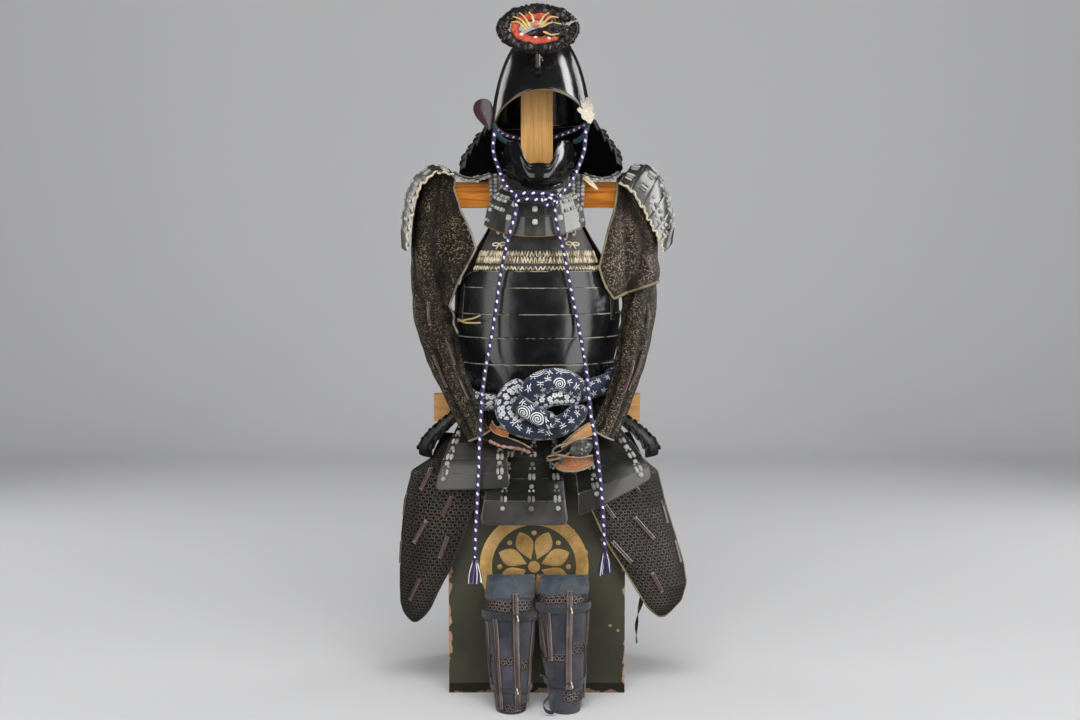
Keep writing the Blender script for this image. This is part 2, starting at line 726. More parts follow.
@dataclass(frozen=True)
class SashPrint(Weave):
    """Indigo cotton printed white with small five-petalled flowers, spirals and dragonflies."""

    color: Color = (0.007, 0.011, 0.030)
    faded: Color = (0.021, 0.031, 0.068)
    white: Color = (0.74, 0.74, 0.73)

    def motif_cells(self, s: Shade, spot: Any, scale: float) -> tuple[Any, Any, Any, Any]:
        """Returns each cell's own turned coordinates, in cell widths, and two random numbers for the cell."""
        cell = s.node("TexVoronoi", {"voronoi_dimensions": "2D"}, Vector=spot, Scale=scale, Randomness=0.55)
        local = s.vector("SCALE", s.vector("SUBTRACT", spot, cell.outputs["Position"]), scale)
        red, green, _ = s.split(cell.outputs["Color"])
        turned = s.node("VectorRotate", {"rotation_type": "Z_AXIS"}, Vector=local,
                        Angle=s.times(red, 2 * math.pi))
        x, y, _ = s.split(turned.outputs[0])
        return x, y, red, green

    def flower(self, s: Shade, x: Any, y: Any, size: float) -> Any:
        """Returns five round petals with a slit in each and a dotted eye, by angle and distance."""
        turn = s.compute("ARCTAN2", y, x)
        out = s.reach(x, y)
        petal = s.size(s.compute("COSINE", s.times(turn, 2.5)))
        edge = s.times(s.plus(s.times(s.compute("POWER", petal, 0.6), 0.55), 0.45), size)
        shape = s.ease(s.less(edge, out), 0.0, 0.03)
        slit = s.times(s.ease(petal, 0.97, 0.995), s.ease(out, size * 0.35, size * 0.5))
        eye = s.times(s.ease(out, size * 0.16, size * 0.2), s.ease(out, size * 0.36, size * 0.32))
        return s.less(s.less(shape, slit, True), eye, True)

    def spiral(self, s: Shade, x: Any, y: Any, size: float, pitch: float) -> Any:
        """Returns a spiral line: where distance over pitch less turns is near a whole number."""
        turn = s.compute("DIVIDE", s.compute("ARCTAN2", y, x), 2 * math.pi)
        out = s.reach(x, y)
        coil = s.compute("FRACT", s.plus(s.less(s.compute("DIVIDE", out, pitch), turn), 1.0))
        line = s.ease(s.size(s.less(coil, 0.5)), 0.26, 0.18)
        return s.times(line, s.ease(out, size, size * 0.96))

    def dragonfly(self, s: Shade, x: Any, y: Any) -> Any:
        """Returns a slim body and two pairs of wings: ellipses either side, tilted up and down."""
        aside = s.size(x)
        long = s.ease(s.size(s.plus(y, 0.06)), 0.32, 0.30)
        body = s.times(s.ease(aside, 0.032, 0.018), long)
        total = body
        for tilt, lift in ((0.32, 0.12), (-0.30, 0.02)):
            along = s.plus(s.times(aside, math.cos(tilt)), s.times(s.less(y, lift), math.sin(tilt)))
            off = s.less(s.times(s.less(y, lift), math.cos(tilt)), s.times(aside, math.sin(tilt)))
            a = s.compute("DIVIDE", s.less(along, 0.19), 0.17)
            b = s.compute("DIVIDE", off, 0.044)
            far = s.plus(s.times(a, a), s.times(b, b))
            total = s.most(total, s.ease(far, 1.0, 0.8))
        return total

    def make(self, s: Shade) -> bpy.types.Material:
        """Prints flowers where the tone is high, dragonflies elsewhere, and spirals between."""
        place, spot = s.place(), s.place(mapped=True)
        x, y, _, _ = self.motif_cells(s, spot, 82.0)
        many = self.flower(s, x, y, 0.50)
        x, y, _, kind = self.motif_cells(s, spot, 27.0)
        chosen = s.times(s.ease(kind, 0.46, 0.45), s.ease(s.mark("tone"), 0.19, 0.21))
        out = s.reach(x, y)
        coils = s.times(self.spiral(s, x, y, 0.42, 0.135), chosen)
        clear = s.less(1.0, s.times(chosen, s.ease(out, 0.46, 0.45)))
        x, y, _, _ = self.motif_cells(s, spot, 47.0)
        large = s.plus(coils, s.times(self.dragonfly(s, x, y), clear))
        bed = s.ease(s.mark("tone"), 0.49, 0.51)
        print_ = s.plus(s.times(many, bed), s.times(large, s.less(1.0, bed)))
        broad = s.cloud(place, 16, 5, 0.62)
        dye = s.blend(s.ease(broad, 0.38, 0.66), self.color, self.faded)
        color = s.blend(s.times(print_, s.ease(s.cloud(spot, 900), 0.2, 0.5, 0.7, 1.0)), dye, self.white)
        wrinkles = s.bump(s.cloud(place, 60, 3, 0.6), 0.0016, 0.4)
        return s.done(Base_Color=color, Roughness=0.85, Sheen_Weight=0.2, Sheen_Roughness=0.5,
                      Normal=s.bump(self.threads(s, spot), 0.00025, 0.6, wrinkles))


@dataclass(frozen=True)
class Silk(Finish):
    """Twisted or braided cord and its knots: fine threads along the map, lighter or darker by tone."""

    dark: Color = (0.09, 0.085, 0.075)
    pale: Color = (0.34, 0.33, 0.29)
    thread: float = 1500.0
    rough: float = 0.62
    sheen: float = 0.3

    def make(self, s: Shade) -> bpy.types.Material:
        """Blends the two colours by tone, with clouds of soiling and raised threads."""
        place = s.place()
        soil = s.cloud(place, 70, 4, 0.7)
        tone = s.plus(s.mark("tone"), s.times(s.less(soil, 0.5), 0.9))
        color = s.blend(s.ease(tone, 0.1, 0.9), self.dark, self.pale)
        strands = s.cloud(s.scaled(place, (self.thread, self.thread * 0.2, self.thread), 0.5), 1.0, 2, 0.6)
        return s.done(Base_Color=color, Roughness=self.rough, Sheen_Weight=self.sheen, Sheen_Roughness=0.4,
                      Specular_IOR_Level=min(0.5, self.sheen * 2), Normal=s.bump(strands, 0.0005, 0.8))


@dataclass(frozen=True)
class Braid(Finish):
    """Two-coloured braided silk: the tone says which strand shows."""

    dark: Color = (0.012, 0.006, 0.050)
    pale: Color = (0.82, 0.80, 0.82)

    def make(self, s: Shade) -> bpy.types.Material:
        """Colours the strands by tone and raises fine threads."""
        place = s.place()
        soil = s.cloud(place, 45, 3)
        color = s.blend(s.ease(s.mark("tone"), 0.45, 0.55),
                        s.blend(soil, self.dark, (0.028, 0.017, 0.095)), self.pale)
        threads = s.cloud(s.scaled(place, (2600, 2600, 700)), 1.0, 2, 0.6)
        return s.done(Base_Color=color, Roughness=0.55, Sheen_Weight=0.35, Sheen_Roughness=0.35,
                      Normal=s.bump(threads, 0.0004, 0.7))


@dataclass(frozen=True)
class Painted(Finish):
    """Carved wood under paint and gilding: chipped on its high places, darker in its hollows."""

    color: Color = (0.52, 0.085, 0.032)
    second: Color = (0.30, 0.035, 0.018)
    chip: Color = (0.70, 0.58, 0.44)
    metal: float = 0.0
    rough: float = 0.42

    def make(self, s: Shade) -> bpy.types.Material:
        """Blends two shades by clouds and chips the paint in small flakes."""
        place = s.place()
        tone = s.cloud(place, 85, 5, 0.7)
        flakes = s.ease(s.cloud(place, 260, 4, 0.75), 0.63, 0.69)
        color = s.blend(s.ease(tone, 0.35, 0.65), self.color, self.second)
        color = s.blend(s.times(flakes, 0.75), color, self.chip)
        return s.done(Base_Color=color, Roughness=s.ease(tone, 0.3, 0.7, self.rough, self.rough + 0.2),
                      Metallic=self.metal, Normal=s.bump(tone, 0.0012, 0.6), Coat_Weight=0.25)


BLACK = Lacquer("black_lacquer_plate")
GLOSS = Lacquer("black_lacquer_helmet", rough=0.13, dust=0.16, reach=1.6)
LAME = Lacquer("olive_black_lacquer_lame", color=(0.0085, 0.0085, 0.0075),
               dusty=(0.055, 0.055, 0.048), rough=0.30, worn=(0.15, 0.14, 0.12), dust=0.35, reach=1.2,
               coat=0.15, gloss=0.45)
HEM_LAME = Lacquer("grey_olive_lame", color=(0.026, 0.025, 0.022), dusty=(0.075, 0.072, 0.064),
                   worn=(0.17, 0.16, 0.14), rough=0.34, dust=0.6, reach=1.1)
SODE = Lacquer("shoulder_guard_lacquer", color=(0.024, 0.023, 0.021), dusty=(0.10, 0.095, 0.086),
               worn=(0.30, 0.28, 0.24), rough=0.33, dust=0.75, reach=1.6)
REDDISH = Lacquer("mauve_lacquer_splint", color=(0.075, 0.043, 0.040), worn=(0.34, 0.25, 0.22),
                  dusty=(0.13, 0.09, 0.085), rough=0.3, reach=1.8, dust=0.7)
WING_RED = Lacquer("worn_red_lacquer", color=(0.040, 0.019, 0.021), worn=(0.20, 0.15, 0.13),
                   dusty=(0.16, 0.115, 0.11), rough=0.24, reach=1.8, dust=1.0)
SHIN_BAR = Lacquer("brown_lacquer_splint", color=(0.048, 0.026, 0.021), worn=(0.27, 0.21, 0.18),
                   dusty=(0.14, 0.10, 0.085), rough=0.32, reach=1.8, dust=0.9)
NECK = Lacquer("neck_guard_lacquer", worn=(0.022, 0.019, 0.017), dusty=(0.014, 0.012, 0.012), rough=0.45,
               dust=0.3, reach=1.0, coat=0.0, gloss=0.2)
COLLAR = Lacquer("grey_throat_lacquer", color=(0.022, 0.022, 0.021), worn=(0.22, 0.21, 0.19),
                 dusty=(0.095, 0.092, 0.086), rough=0.3, dust=0.8, reach=1.4)
WORN_RIM = Lacquer("worn_gilt_rim", color=(0.115, 0.068, 0.025), worn=(0.46, 0.33, 0.17),
                   dusty=(0.24, 0.15, 0.06), rough=0.35, reach=3.0, dust=1.0)
BOX_LACQUER = BoxLacquer("box_olive_lacquer")
PLINTH_LACQUER = BoxLacquer("plinth_olive_lacquer", color=(0.022, 0.016, 0.010),
                            shade=(0.010, 0.008, 0.006), chip=(0.16, 0.095, 0.055))
GOLD = GoldLacquer("roundel_gold_lacquer")
POST_WOOD = Wood("post_pine")
BOARD_WOOD = Wood("board_pine", grain=Grain.SIDEWAYS, pale=(0.74, 0.41, 0.15), dark=(0.52, 0.25, 0.07))
AMBER_WOOD = Wood("bar_amber_wood", grain=Grain.SIDEWAYS, pale=(0.62, 0.215, 0.022),
                  dark=(0.24, 0.062, 0.007), rough=0.24, coat=0.5)
CHEST_LEATHER = Leather("chest_leather")
WORN_LEATHER = Leather("worn_grey_leather", color=(0.016, 0.015, 0.014), rubbed=(0.12, 0.115, 0.105),
                       grain=200, marked=0.6)
PALE_LEATHER = Leather("worn_cream_leather", color=(0.50, 0.44, 0.35), rubbed=(0.78, 0.73, 0.64),
                       grain=300, marked=0.5)
TAN = Leather("tan_lining_leather", color=(0.26, 0.095, 0.034), rubbed=(0.58, 0.30, 0.145), grain=300,
              rough=0.42, marked=0.5)
PALE_TAN = Leather("pale_tan_leather", color=(0.50, 0.25, 0.10), rubbed=(0.80, 0.56, 0.34),
                   grain=300, rough=0.42)
HAND_LEATHER = Leather("dark_hand_leather", color=(0.012, 0.010, 0.009), rubbed=(0.050, 0.043, 0.038),
                       grain=300, rough=0.5)
EMBOSSED = Leather("embossed_hand_leather", color=(0.055, 0.050, 0.048), rubbed=(0.38, 0.36, 0.35),
                   grain=130, rough=0.2, marked=0.3)
ROSE_PIPING = Leather("rose_tan_piping", color=(0.33, 0.18, 0.115), rubbed=(0.62, 0.46, 0.36), grain=600)
PIPING = Leather("pale_piping", color=(0.25, 0.22, 0.165), rubbed=(0.48, 0.43, 0.34), grain=800)
OCHRE_PIPING = Leather("ochre_piping", color=(0.21, 0.165, 0.075), rubbed=(0.42, 0.36, 0.21), grain=800)
TEAL = Silk("teal_braid", dark=(0.002, 0.014, 0.022), pale=(0.006, 0.060, 0.078))
SLEEVE_MAIL = Mail("sleeve_mail")
RIGHT_MAIL = Mail("slipped_sleeve_mail", ring=(0.024, 0.015, 0.011), glint=(0.50, 0.35, 0.23))
THIGH_MAIL = Mail("thigh_mail", pitch=0.0140, ring=(0.045, 0.036, 0.029), glint=(0.14, 0.112, 0.088),
                  cloth=(0.002, 0.0017, 0.0017), wire=0.75, sparkle=(-0.6, 0.6))
SHIN_MAIL = Mail("shin_mail", pitch=0.0125, ring=(0.085, 0.064, 0.053), glint=(0.32, 0.26, 0.22),
                 cloth=(0.002, 0.002, 0.003), wire=0.85, sparkle=(-0.6, 0.6))
INDIGO = Weave("faded_indigo_cloth", color=(0.022, 0.029, 0.040), faded=(0.066, 0.080, 0.096),
               fade_scale=26.0)
SLATE = Weave("slate_cloth", color=(0.017, 0.017, 0.025), faded=(0.056, 0.054, 0.070))
TEAL_EDGE = Weave("teal_edge_cloth", color=(0.012, 0.028, 0.042), faded=(0.045, 0.070, 0.090))
BLACK_CLOTH = Weave("black_backing_cloth", color=(0.004, 0.004, 0.0045), faded=(0.013, 0.012, 0.012))
STRAP_CLOTH = Weave("grey_strap_cloth", color=(0.014, 0.015, 0.018), faded=(0.040, 0.041, 0.046),
                    thread=0.0016)
PRINT = SashPrint("sash_print")
KNOT_SILK = Silk("grey_lacing")
GUARD_SILK = Silk("pale_grey_lacing", dark=(0.13, 0.125, 0.11), pale=(0.42, 0.41, 0.37))
CREAM_SILK = Silk("cream_lacing", dark=(0.17, 0.135, 0.075), pale=(0.68, 0.58, 0.40))
OCHRE_SILK = Silk("ochre_tie_cord", dark=(0.16, 0.095, 0.028), pale=(0.50, 0.36, 0.15))
BLACK_SILK = Silk("black_lacing", dark=(0.004, 0.004, 0.0045), pale=(0.022, 0.021, 0.020),
                  rough=0.75, sheen=0.06)
CORD_SILK = Braid("purple_white_braid")
CORAL = Painted("coral_paint")
CREST_BLACK = Painted("crest_black", color=(0.007, 0.007, 0.007), second=(0.020, 0.014, 0.012),
                      chip=(0.42, 0.33, 0.24), rough=0.2)
CREST_GOLD = Painted("crest_gilding", color=(0.80, 0.62, 0.28), second=(0.60, 0.40, 0.13),
                     chip=(0.30, 0.17, 0.05), metal=0.4, rough=0.3)
CREST_WHITE = Painted("crest_white", color=(0.72, 0.68, 0.60), second=(0.55, 0.48, 0.40),
                      chip=(0.30, 0.16, 0.10))
CREST_ROSE = Painted("crest_rose", color=(0.62, 0.20, 0.115), second=(0.50, 0.11, 0.06),
                     chip=(0.80, 0.62, 0.50))


# ------------------------------------------------------------ workshop
def put(name: str, patch: Patch, finish: Finish, slot: str, stands_for: Sequence[str] = (),
        thick: float = 0.0, rounded: float = 0.0, sharp: float = 40.0) -> bpy.types.Object:
    """Makes a piece of a patch, dresses it and fastens it to the body.

    Args:
        name: the piece's name.
        patch: its shape, in millimetres.
        finish: its finish.
        slot: the record's slot that the finish belongs to.
        stands_for: the solids that it replaces.
        thick: how thick a wall to grow inwards from an open patch, in millimetres.
        rounded: how far the wall's edges are rounded, in millimetres.
        sharp: the angle past which an edge stays sharp, in degrees.

    Returns:
        The piece.
    """
    mesh = bpy.data.meshes.new(name)
    corners = np.concatenate([patch.quads.ravel(), patch.tris.ravel()]).astype(np.int32)
    counts = np.concatenate([np.full(len(patch.quads), 4), np.full(len(patch.tris), 3)])
    mesh.vertices.add(len(patch.points))
    mesh.vertices.foreach_set("co", (patch.points * MM).astype(np.float32).ravel())
    mesh.loops.add(len(corners))
    mesh.loops.foreach_set("vertex_index", corners)
    mesh.polygons.add(len(counts))
    mesh.polygons.foreach_set("loop_start", (np.cumsum(counts) - counts).astype(np.int32))
    mesh.update(calc_edges=True)
    spots = np.concatenate([patch.quad_map.reshape(-1, 2), patch.tri_map.reshape(-1, 2)]).astype(np.float32)
    mesh.uv_layers.new(name="UVMap").data.foreach_set("uv", spots.ravel())
    for label, values in (("rim", patch.rim), ("tone", patch.tone)):
        mesh.attributes.new(label, "FLOAT", "POINT").data.foreach_set("value", values.astype(np.float32))
    mesh.validate()
    mesh.shade_smooth()
    mesh.set_sharp_from_angle(angle=math.radians(sharp))
    mesh.materials.append(finish.material())
    piece = bpy.data.objects.new(name, mesh)
    bpy.context.scene.collection.objects.link(piece)
    if thick:
        wall = piece.modifiers.new("wall", "SOLIDIFY")
        wall.thickness, wall.offset, wall.use_even_offset = thick * MM, -1.0, True
    if rounded:
        edge = piece.modifiers.new("edge", "BEVEL")
        edge.width, edge.segments, edge.limit_method = rounded * MM, 2, "ANGLE"
        edge.angle_limit, edge.harden_normals = math.radians(50), False
    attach(piece, "root")
    if stands_for:
        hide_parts(*stands_for)
    LOG.info("%s: %d points", name, len(patch.points))
    return piece


def dress(finish: Finish, *nodes: str) -> None:
    """Gives solids that stay in view a finish."""
    for node in nodes:
        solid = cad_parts[node]
        solid.data.materials.clear()
        solid.data.materials.append(finish.material())
        LOG.info("%s keeps its solid, in %s", node, finish.name)


def swept(path: Array, across: Array, out: Array, profile: Sequence[Sequence[float]],
          scale: Array | float = 1.0, tone: float = 0.5) -> Patch:
    """Carries a closed profile along a path: each corner stands its x across and its y out from the path.

    Args:
        path: the points that it follows.
        across: the direction across, at each point.
        out: the direction outwards, at each point.
        profile: the corners, in order round the section.
        scale: the section's size, all along or at each point.
        tone: the tone of every point.

    Returns:
        The closed patch.
    """
    corners = np.asarray(profile, float)
    size = np.broadcast_to(scale, len(path))[:, None, None]
    grid = path[:, None] + size * (corners[None, :, :1] * across[:, None] + corners[None, :, 1:]
                                   * out[:, None])
    return grid_patch(grid, ring=True, poles=(True, True), tone=tone)


def ends_rounded(count: int, share: float) -> Array:
    """Returns a size along a path that falls to almost nothing at both ends, as a quarter circle."""
    t = np.linspace(0, 1, count)
    left = np.clip(np.minimum(t, 1 - t) / share, 0, 1)
    return np.sqrt(np.clip(1 - (1 - left) ** 2, 0.01, 1))


def flat_bar(width: float, height: float) -> list[tuple[float, float]]:
    """Returns a low section with eased corners, its foot on the path."""
    w, e = width / 2, min(width, height) * 0.3
    return [(-w, 0), (w, 0), (w, height - e), (w - e, height), (e - w, height), (-w, height - e)]


def edge_of(surface: Surface, u: Any, v: Any, count: int = 90) -> Array:
    """Returns points along a line across a surface, between two places each for u and v."""
    t = np.linspace(0, 1, count)
    at = lambda ends: mix(ends[0], ends[1], t) if isinstance(ends, tuple) else np.full(count, float(ends))
    return surface(at(u), at(v))


def soft_rows(table: Sequence[Sequence[float]], key: Array) -> list[Array]:
    """Returns each later column at the first column's value, on a smooth cubic through the rows.

    Each row's slope is that of the line past it.
    """
    rows = np.asarray(sorted(table), float)
    x = rows[:, 0]
    i = np.clip(np.searchsorted(x, key, side="right") - 1, 0, len(x) - 2)
    gap = x[i + 1] - x[i]
    t = np.clip((key - x[i]) / gap, 0, 1)
    found = []
    for k in range(1, rows.shape[1]):
        value, slope = rows[:, k], np.gradient(rows[:, k], x)
        found.append((2 * t**3 - 3 * t**2 + 1) * value[i] + (t**3 - 2 * t**2 + t) * gap * slope[i]
                     + (3 * t**2 - 2 * t**3) * value[i + 1] + (t**3 - t**2) * gap * slope[i + 1])
    return found


# ------------------------------------------------------------ studio
@dataclass(frozen=True)
class StudioPaper(Finish):
    """Plain matt paper for the floor and the backdrop."""

    color: Color = (0.66, 0.66, 0.665)

    def make(self, s: Shade) -> bpy.types.Material:
        """Gives the paper one colour and a faint tooth."""
        return s.done(Base_Color=self.color, Roughness=0.9, Specular_IOR_Level=0.2,
                      Normal=s.bump(s.cloud(s.place(), 300, 2), 0.0004, 0.2))


@dataclass
class Studio:
    """The camera, the lights and a floor that curves up behind into a backdrop."""

    eye: tuple[float, float, float] = (0.007, -3.8, 1.05)
    tilt: float = 90 - 4.96
    lens: float = 56.13
    wide: float = 7.0
    deep: float = 3.4
    bend: float = 1.2
    fill: tuple[float, float] = (0.34, 0.035)

    def build(self) -> None:
        """Sets the camera, the lights, the world and the floor."""
        self.camera()
        self.floor()
        self.softbox("panel_left", (-2.3, -2.65, 0.65), (0.0, 0.0, 0.75), (2.3, 4.3), 62)
        self.softbox("panel_right", (2.35, -2.6, 0.7), (0.0, 0.0, 0.75), (2.2, 4.3), 92)
        self.softbox("gleam", (3.0, -0.5, 2.3), (0.0, 0.0, 1.3), (1.2, 3.0), 120, lights=False)
        self.softbox("overhead", (0.1, -2.9, 3.5), (0.0, 0.0, 0.75), (2.6, 1.3), 105, shows=False)
        self.softbox("rim_left", (-2.5, 1.7, 1.8), (0.0, 0.0, 1.0), (1.2, 2.0), 20)
        self.softbox("rim_right", (2.5, 1.7, 1.8), (0.0, 0.0, 1.0), (1.2, 2.0), 24)
        self.air()
        bpy.context.scene.view_settings.view_transform = "Standard"

    def air(self) -> None:
        """Fills the studio with soft light, much dimmer where it would only show as a haze on gloss."""
        world = bpy.data.worlds.new("studio_air")
        world.use_nodes = True
        tree = world.node_tree
        air = tree.nodes["Background"]
        path, level = (tree.nodes.new(f"ShaderNode{kind}") for kind in ("LightPath", "MapRange"))
        air.inputs["Color"].default_value = (0.84, 0.85, 0.87, 1)
        level.inputs["To Min"].default_value, level.inputs["To Max"].default_value = self.fill
        tree.links.new(path.outputs["Is Glossy Ray"], level.inputs["Value"])
        tree.links.new(level.outputs["Result"], air.inputs["Strength"])
        bpy.context.scene.world = world

    def camera(self) -> None:
        """Places the camera in front, looking slightly down."""
        data = bpy.data.cameras.new("camera")
        data.lens, data.sensor_width = self.lens, 36
        camera = bpy.data.objects.new("camera", data)
        camera.location = self.eye
        camera.rotation_euler = (math.radians(self.tilt), 0, 0)
        bpy.context.scene.collection.objects.link(camera)
        bpy.context.scene.camera = camera

    def softbox(self, name: str, at: Sequence[float], aim: Sequence[float], size: tuple[float, float],
                power: float, shows: bool = True, lights: bool = True) -> None:
        """Hangs a rectangular light.

        Args:
            name: its name.
            at: where it hangs, in metres.
            aim: the point that it faces.
            size: its width and height.
            power: its power in watts.
            shows: whether gloss mirrors it.
            lights: whether it lights what is matt.
        """
        data = bpy.data.lights.new(name, "AREA")
        data.shape, data.size, data.size_y, data.energy = "RECTANGLE", size[0], size[1], power
        light = bpy.data.objects.new(name, data)
        light.location, light.visible_glossy, light.visible_diffuse = at, shows, lights
        away = np.asarray(at, float) - np.asarray(aim, float)
        upright, round_z = math.acos(away[2] / np.linalg.norm(away)), math.atan2(away[1], away[0])
        light.rotation_euler = (upright, 0, round_z + math.pi / 2)
        bpy.context.scene.collection.objects.link(light)

    def floor(self) -> None:
        """Rolls out the paper: flat, then a quarter circle, then upright."""
        turn = np.linspace(0, math.pi / 2, 24)
        y = np.concatenate([[-6.0], self.deep + self.bend * np.sin(turn), [self.deep + self.bend]])
        z = np.concatenate([[0.0], self.bend * (1 - np.cos(turn)), [5.0]])
        x = np.array([-self.wide, self.wide])
        grid = np.stack([np.broadcast_to(x, (len(y), 2)), np.stack([y, y], -1), np.stack([z, z], -1)], -1)
        patch = grid_patch(grid / MM, toward=(0, -1, 1))
        mesh = bpy.data.meshes.new("paper")
        mesh.from_pydata((patch.points * MM).tolist(), [], patch.quads.tolist())
        mesh.shade_smooth()
        mesh.materials.append(StudioPaper("studio_paper").material())
        paper = bpy.data.objects.new("paper", mesh)
        bpy.context.scene.collection.objects.link(paper)
        paper.visible_glossy = False
        paper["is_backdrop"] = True


# ------------------------------------------------------------ helmet cord
@dataclass
class HelmetCord:
    """The braided cord: an end over each cheek, the tie under the chin, and a tassel on each end."""

    diameter: float = 9.0
    repeat: float = 19.5
    left: tuple[tuple[float, float, float], ...] = (
        (-93, -60, 1232), (-96, -72, 1190), (-84, -88, 1150), (-70, -112, 1118), (-50, -138, 1092),
        (-44, -158, 1064), (-56, -168, 1016), (-68, -156, 970), (-78, -152, 920), (-88, -152, 850),
        (-99, -156, 780), (-111, -170, 715), (-118, -214, 650), (-120, -236, 600), (-122, -242, 560),
        (-124, -246, 500), (-127, -250, 440), (-130, -251, 380), (-132, -251, 318))
    right: tuple[tuple[float, float, float], ...] = (
        (108, -64, 1238), (104, -76, 1190), (90, -92, 1150), (74, -114, 1118), (52, -138, 1092),
        (40, -158, 1064), (46, -168, 1016), (58, -156, 970), (68, -152, 920), (82, -152, 850),
        (96, -156, 780), (106, -196, 720), (110, -222, 680), (116, -232, 620), (126, -244, 570),
        (134, -248, 500), (140, -254, 440), (143, -255, 380), (145, -255, 338))

    def braid(self, path: Array, fold: int = 22) -> Patch:
        """Makes braided cord along a path.

        Two families of strands wind opposite ways: the radius is a little higher where either family's wave
        is high. The pale strand shows as an oval dash once a repeat, in front and half a repeat on behind.

        Args:
            path: the points that the cord follows.
            fold: faces round it.

        Returns:
            The closed patch, with tone 1 on the pale strand.
        """
        _, first, second = frames_along(path, (0, 1, 0.2))
        run = steps_along(path, 0)[:, None]
        turn = np.arange(fold)[None, :] * 2 * math.pi / fold
        wave = 2 * math.pi * run / 8.5
        lobes = np.maximum(np.cos(4 * turn + wave), np.cos(4 * turn - wave + 0.8))
        radius = self.diameter / 2 * (0.93 + 0.07 * lobes)
        ring = np.cos(turn)[..., None] * first[:, None] + np.sin(turn)[..., None] * second[:, None]
        patch = grid_patch(path[:, None] + radius[..., None] * ring, ring=True, poles=(True, True))
        facing = -ring[..., 1]
        aside = np.arcsin(np.cos(turn))
        phase = np.mod(run / self.repeat + 0.5 * (facing < 0) + 0.13 * aside, 1.0) - 0.5
        dash = ((phase / 0.16) ** 2 + (aside / 0.68) ** 2 < 1).astype(float)
        patch.tone = np.concatenate([dash.ravel(), [0.0, 0.0]])
        return patch

    def tassel(self, x: float, y: float, z: float, seed: int) -> Patch:
        """Makes a tassel: a bound neck and a flared skirt of strands, each a thin tube that wanders a little.

        Args:
            x: its place across.
            y: its place from front to back.
            z: the height of its top.
            seed: what its strands' wandering depends on.

        Returns:
            The patch, a quarter of it pale.
        """
        rng = np.random.default_rng(seed)
        strands = []
        for k in range(64):
            turn, out = rng.uniform(0, 2 * math.pi), math.sqrt(rng.uniform(0.02, 1))
            t = np.linspace(0, 1, 9)
            flare = mix(4.6, 15.0, smooth(t) ** 0.8) * out
            wander = rng.uniform(-1.6, 1.6, 2)[:, None] * np.sin(math.pi * t * rng.uniform(0.6, 1.6))
            long = 52 * rng.uniform(0.88, 1.0)
            path = np.stack([x + flare * math.cos(turn) + wander[0], y + flare * math.sin(turn) + wander[1],
                             z - 5 - long * t], -1)
            strands.append(tube(path, 0.95, 5, side=(1, 0, 0), tone=1.0 if k % 5 == 0 else 0.0))
        neck = np.stack([np.full(12, x), np.full(12, y), np.linspace(z + 1, z - 15, 12)], -1)
        bound = tube(neck, 5.6 + 1.1 * np.cos(np.arange(12) * math.pi), 14, side=(1, 0, 0),
                     ends=0.7, tone=0.0)
        return joined([bound, *strands])

    def tie(self) -> list[Array]:
        """Returns the paths of the wraps under the chin: two strands across and a turn round each end."""
        over = curve_through([(-50, -149, 1086), (-34, -160, 1094), (-6, -166, 1095), (22, -163, 1093),
                              (44, -151, 1087)], 60)
        under = curve_through([(-46, -156, 1077), (-26, -166, 1082), (0, -171, 1081), (24, -168, 1081),
                               (40, -157, 1077)], 60)
        loop = curve_through([(24, -172, 1088), (31, -179, 1082), (30, -178, 1072), (20, -172, 1070),
                              (12, -172, 1078), (14, -174, 1087)], 40)
        return [over, under, loop]

    def build(self) -> None:
        """Builds both ends, the tie, the loops inside the helmet and the tassels."""
        for label, line, seed in (("left", self.left, 3), ("right", self.right, 7)):
            path = curve_through(line, 720)
            end = line[-1]
            tassel = put(f"helmet_cord_tassel_{label}", self.tassel(end[0], end[1], end[2], seed),
                         CORD_SILK, "silk_cord", (f"cord_tassel_{label}",))
            cord = put(f"helmet_cord_end_{label}", self.braid(path), CORD_SILK, "silk_cord",
                       (f"helmet_cord_{label}",))
            long = float(np.linalg.norm(np.diff(path, axis=0), axis=1).sum()) * MM
            [v * MM for v in line[0]]
            LOG.info("the %s end is %.0f mm long", label, long / MM)
        put("helmet_cord_tie", joined([self.braid(p, 20) for p in self.tie()]), CORD_SILK, "silk_cord")
        inner = [curve_through([(-92, -50, 1240), (-70, -12, 1226), (-30, 24, 1219), (0, 28, 1218)], 60),
                 curve_through([(0, 28, 1218), (36, 24, 1222), (76, -12, 1234), (106, -52, 1246)], 60)]
        put("helmet_cord_inside", joined([self.braid(p, 16) for p in inner]), CORD_SILK, "silk_cord")


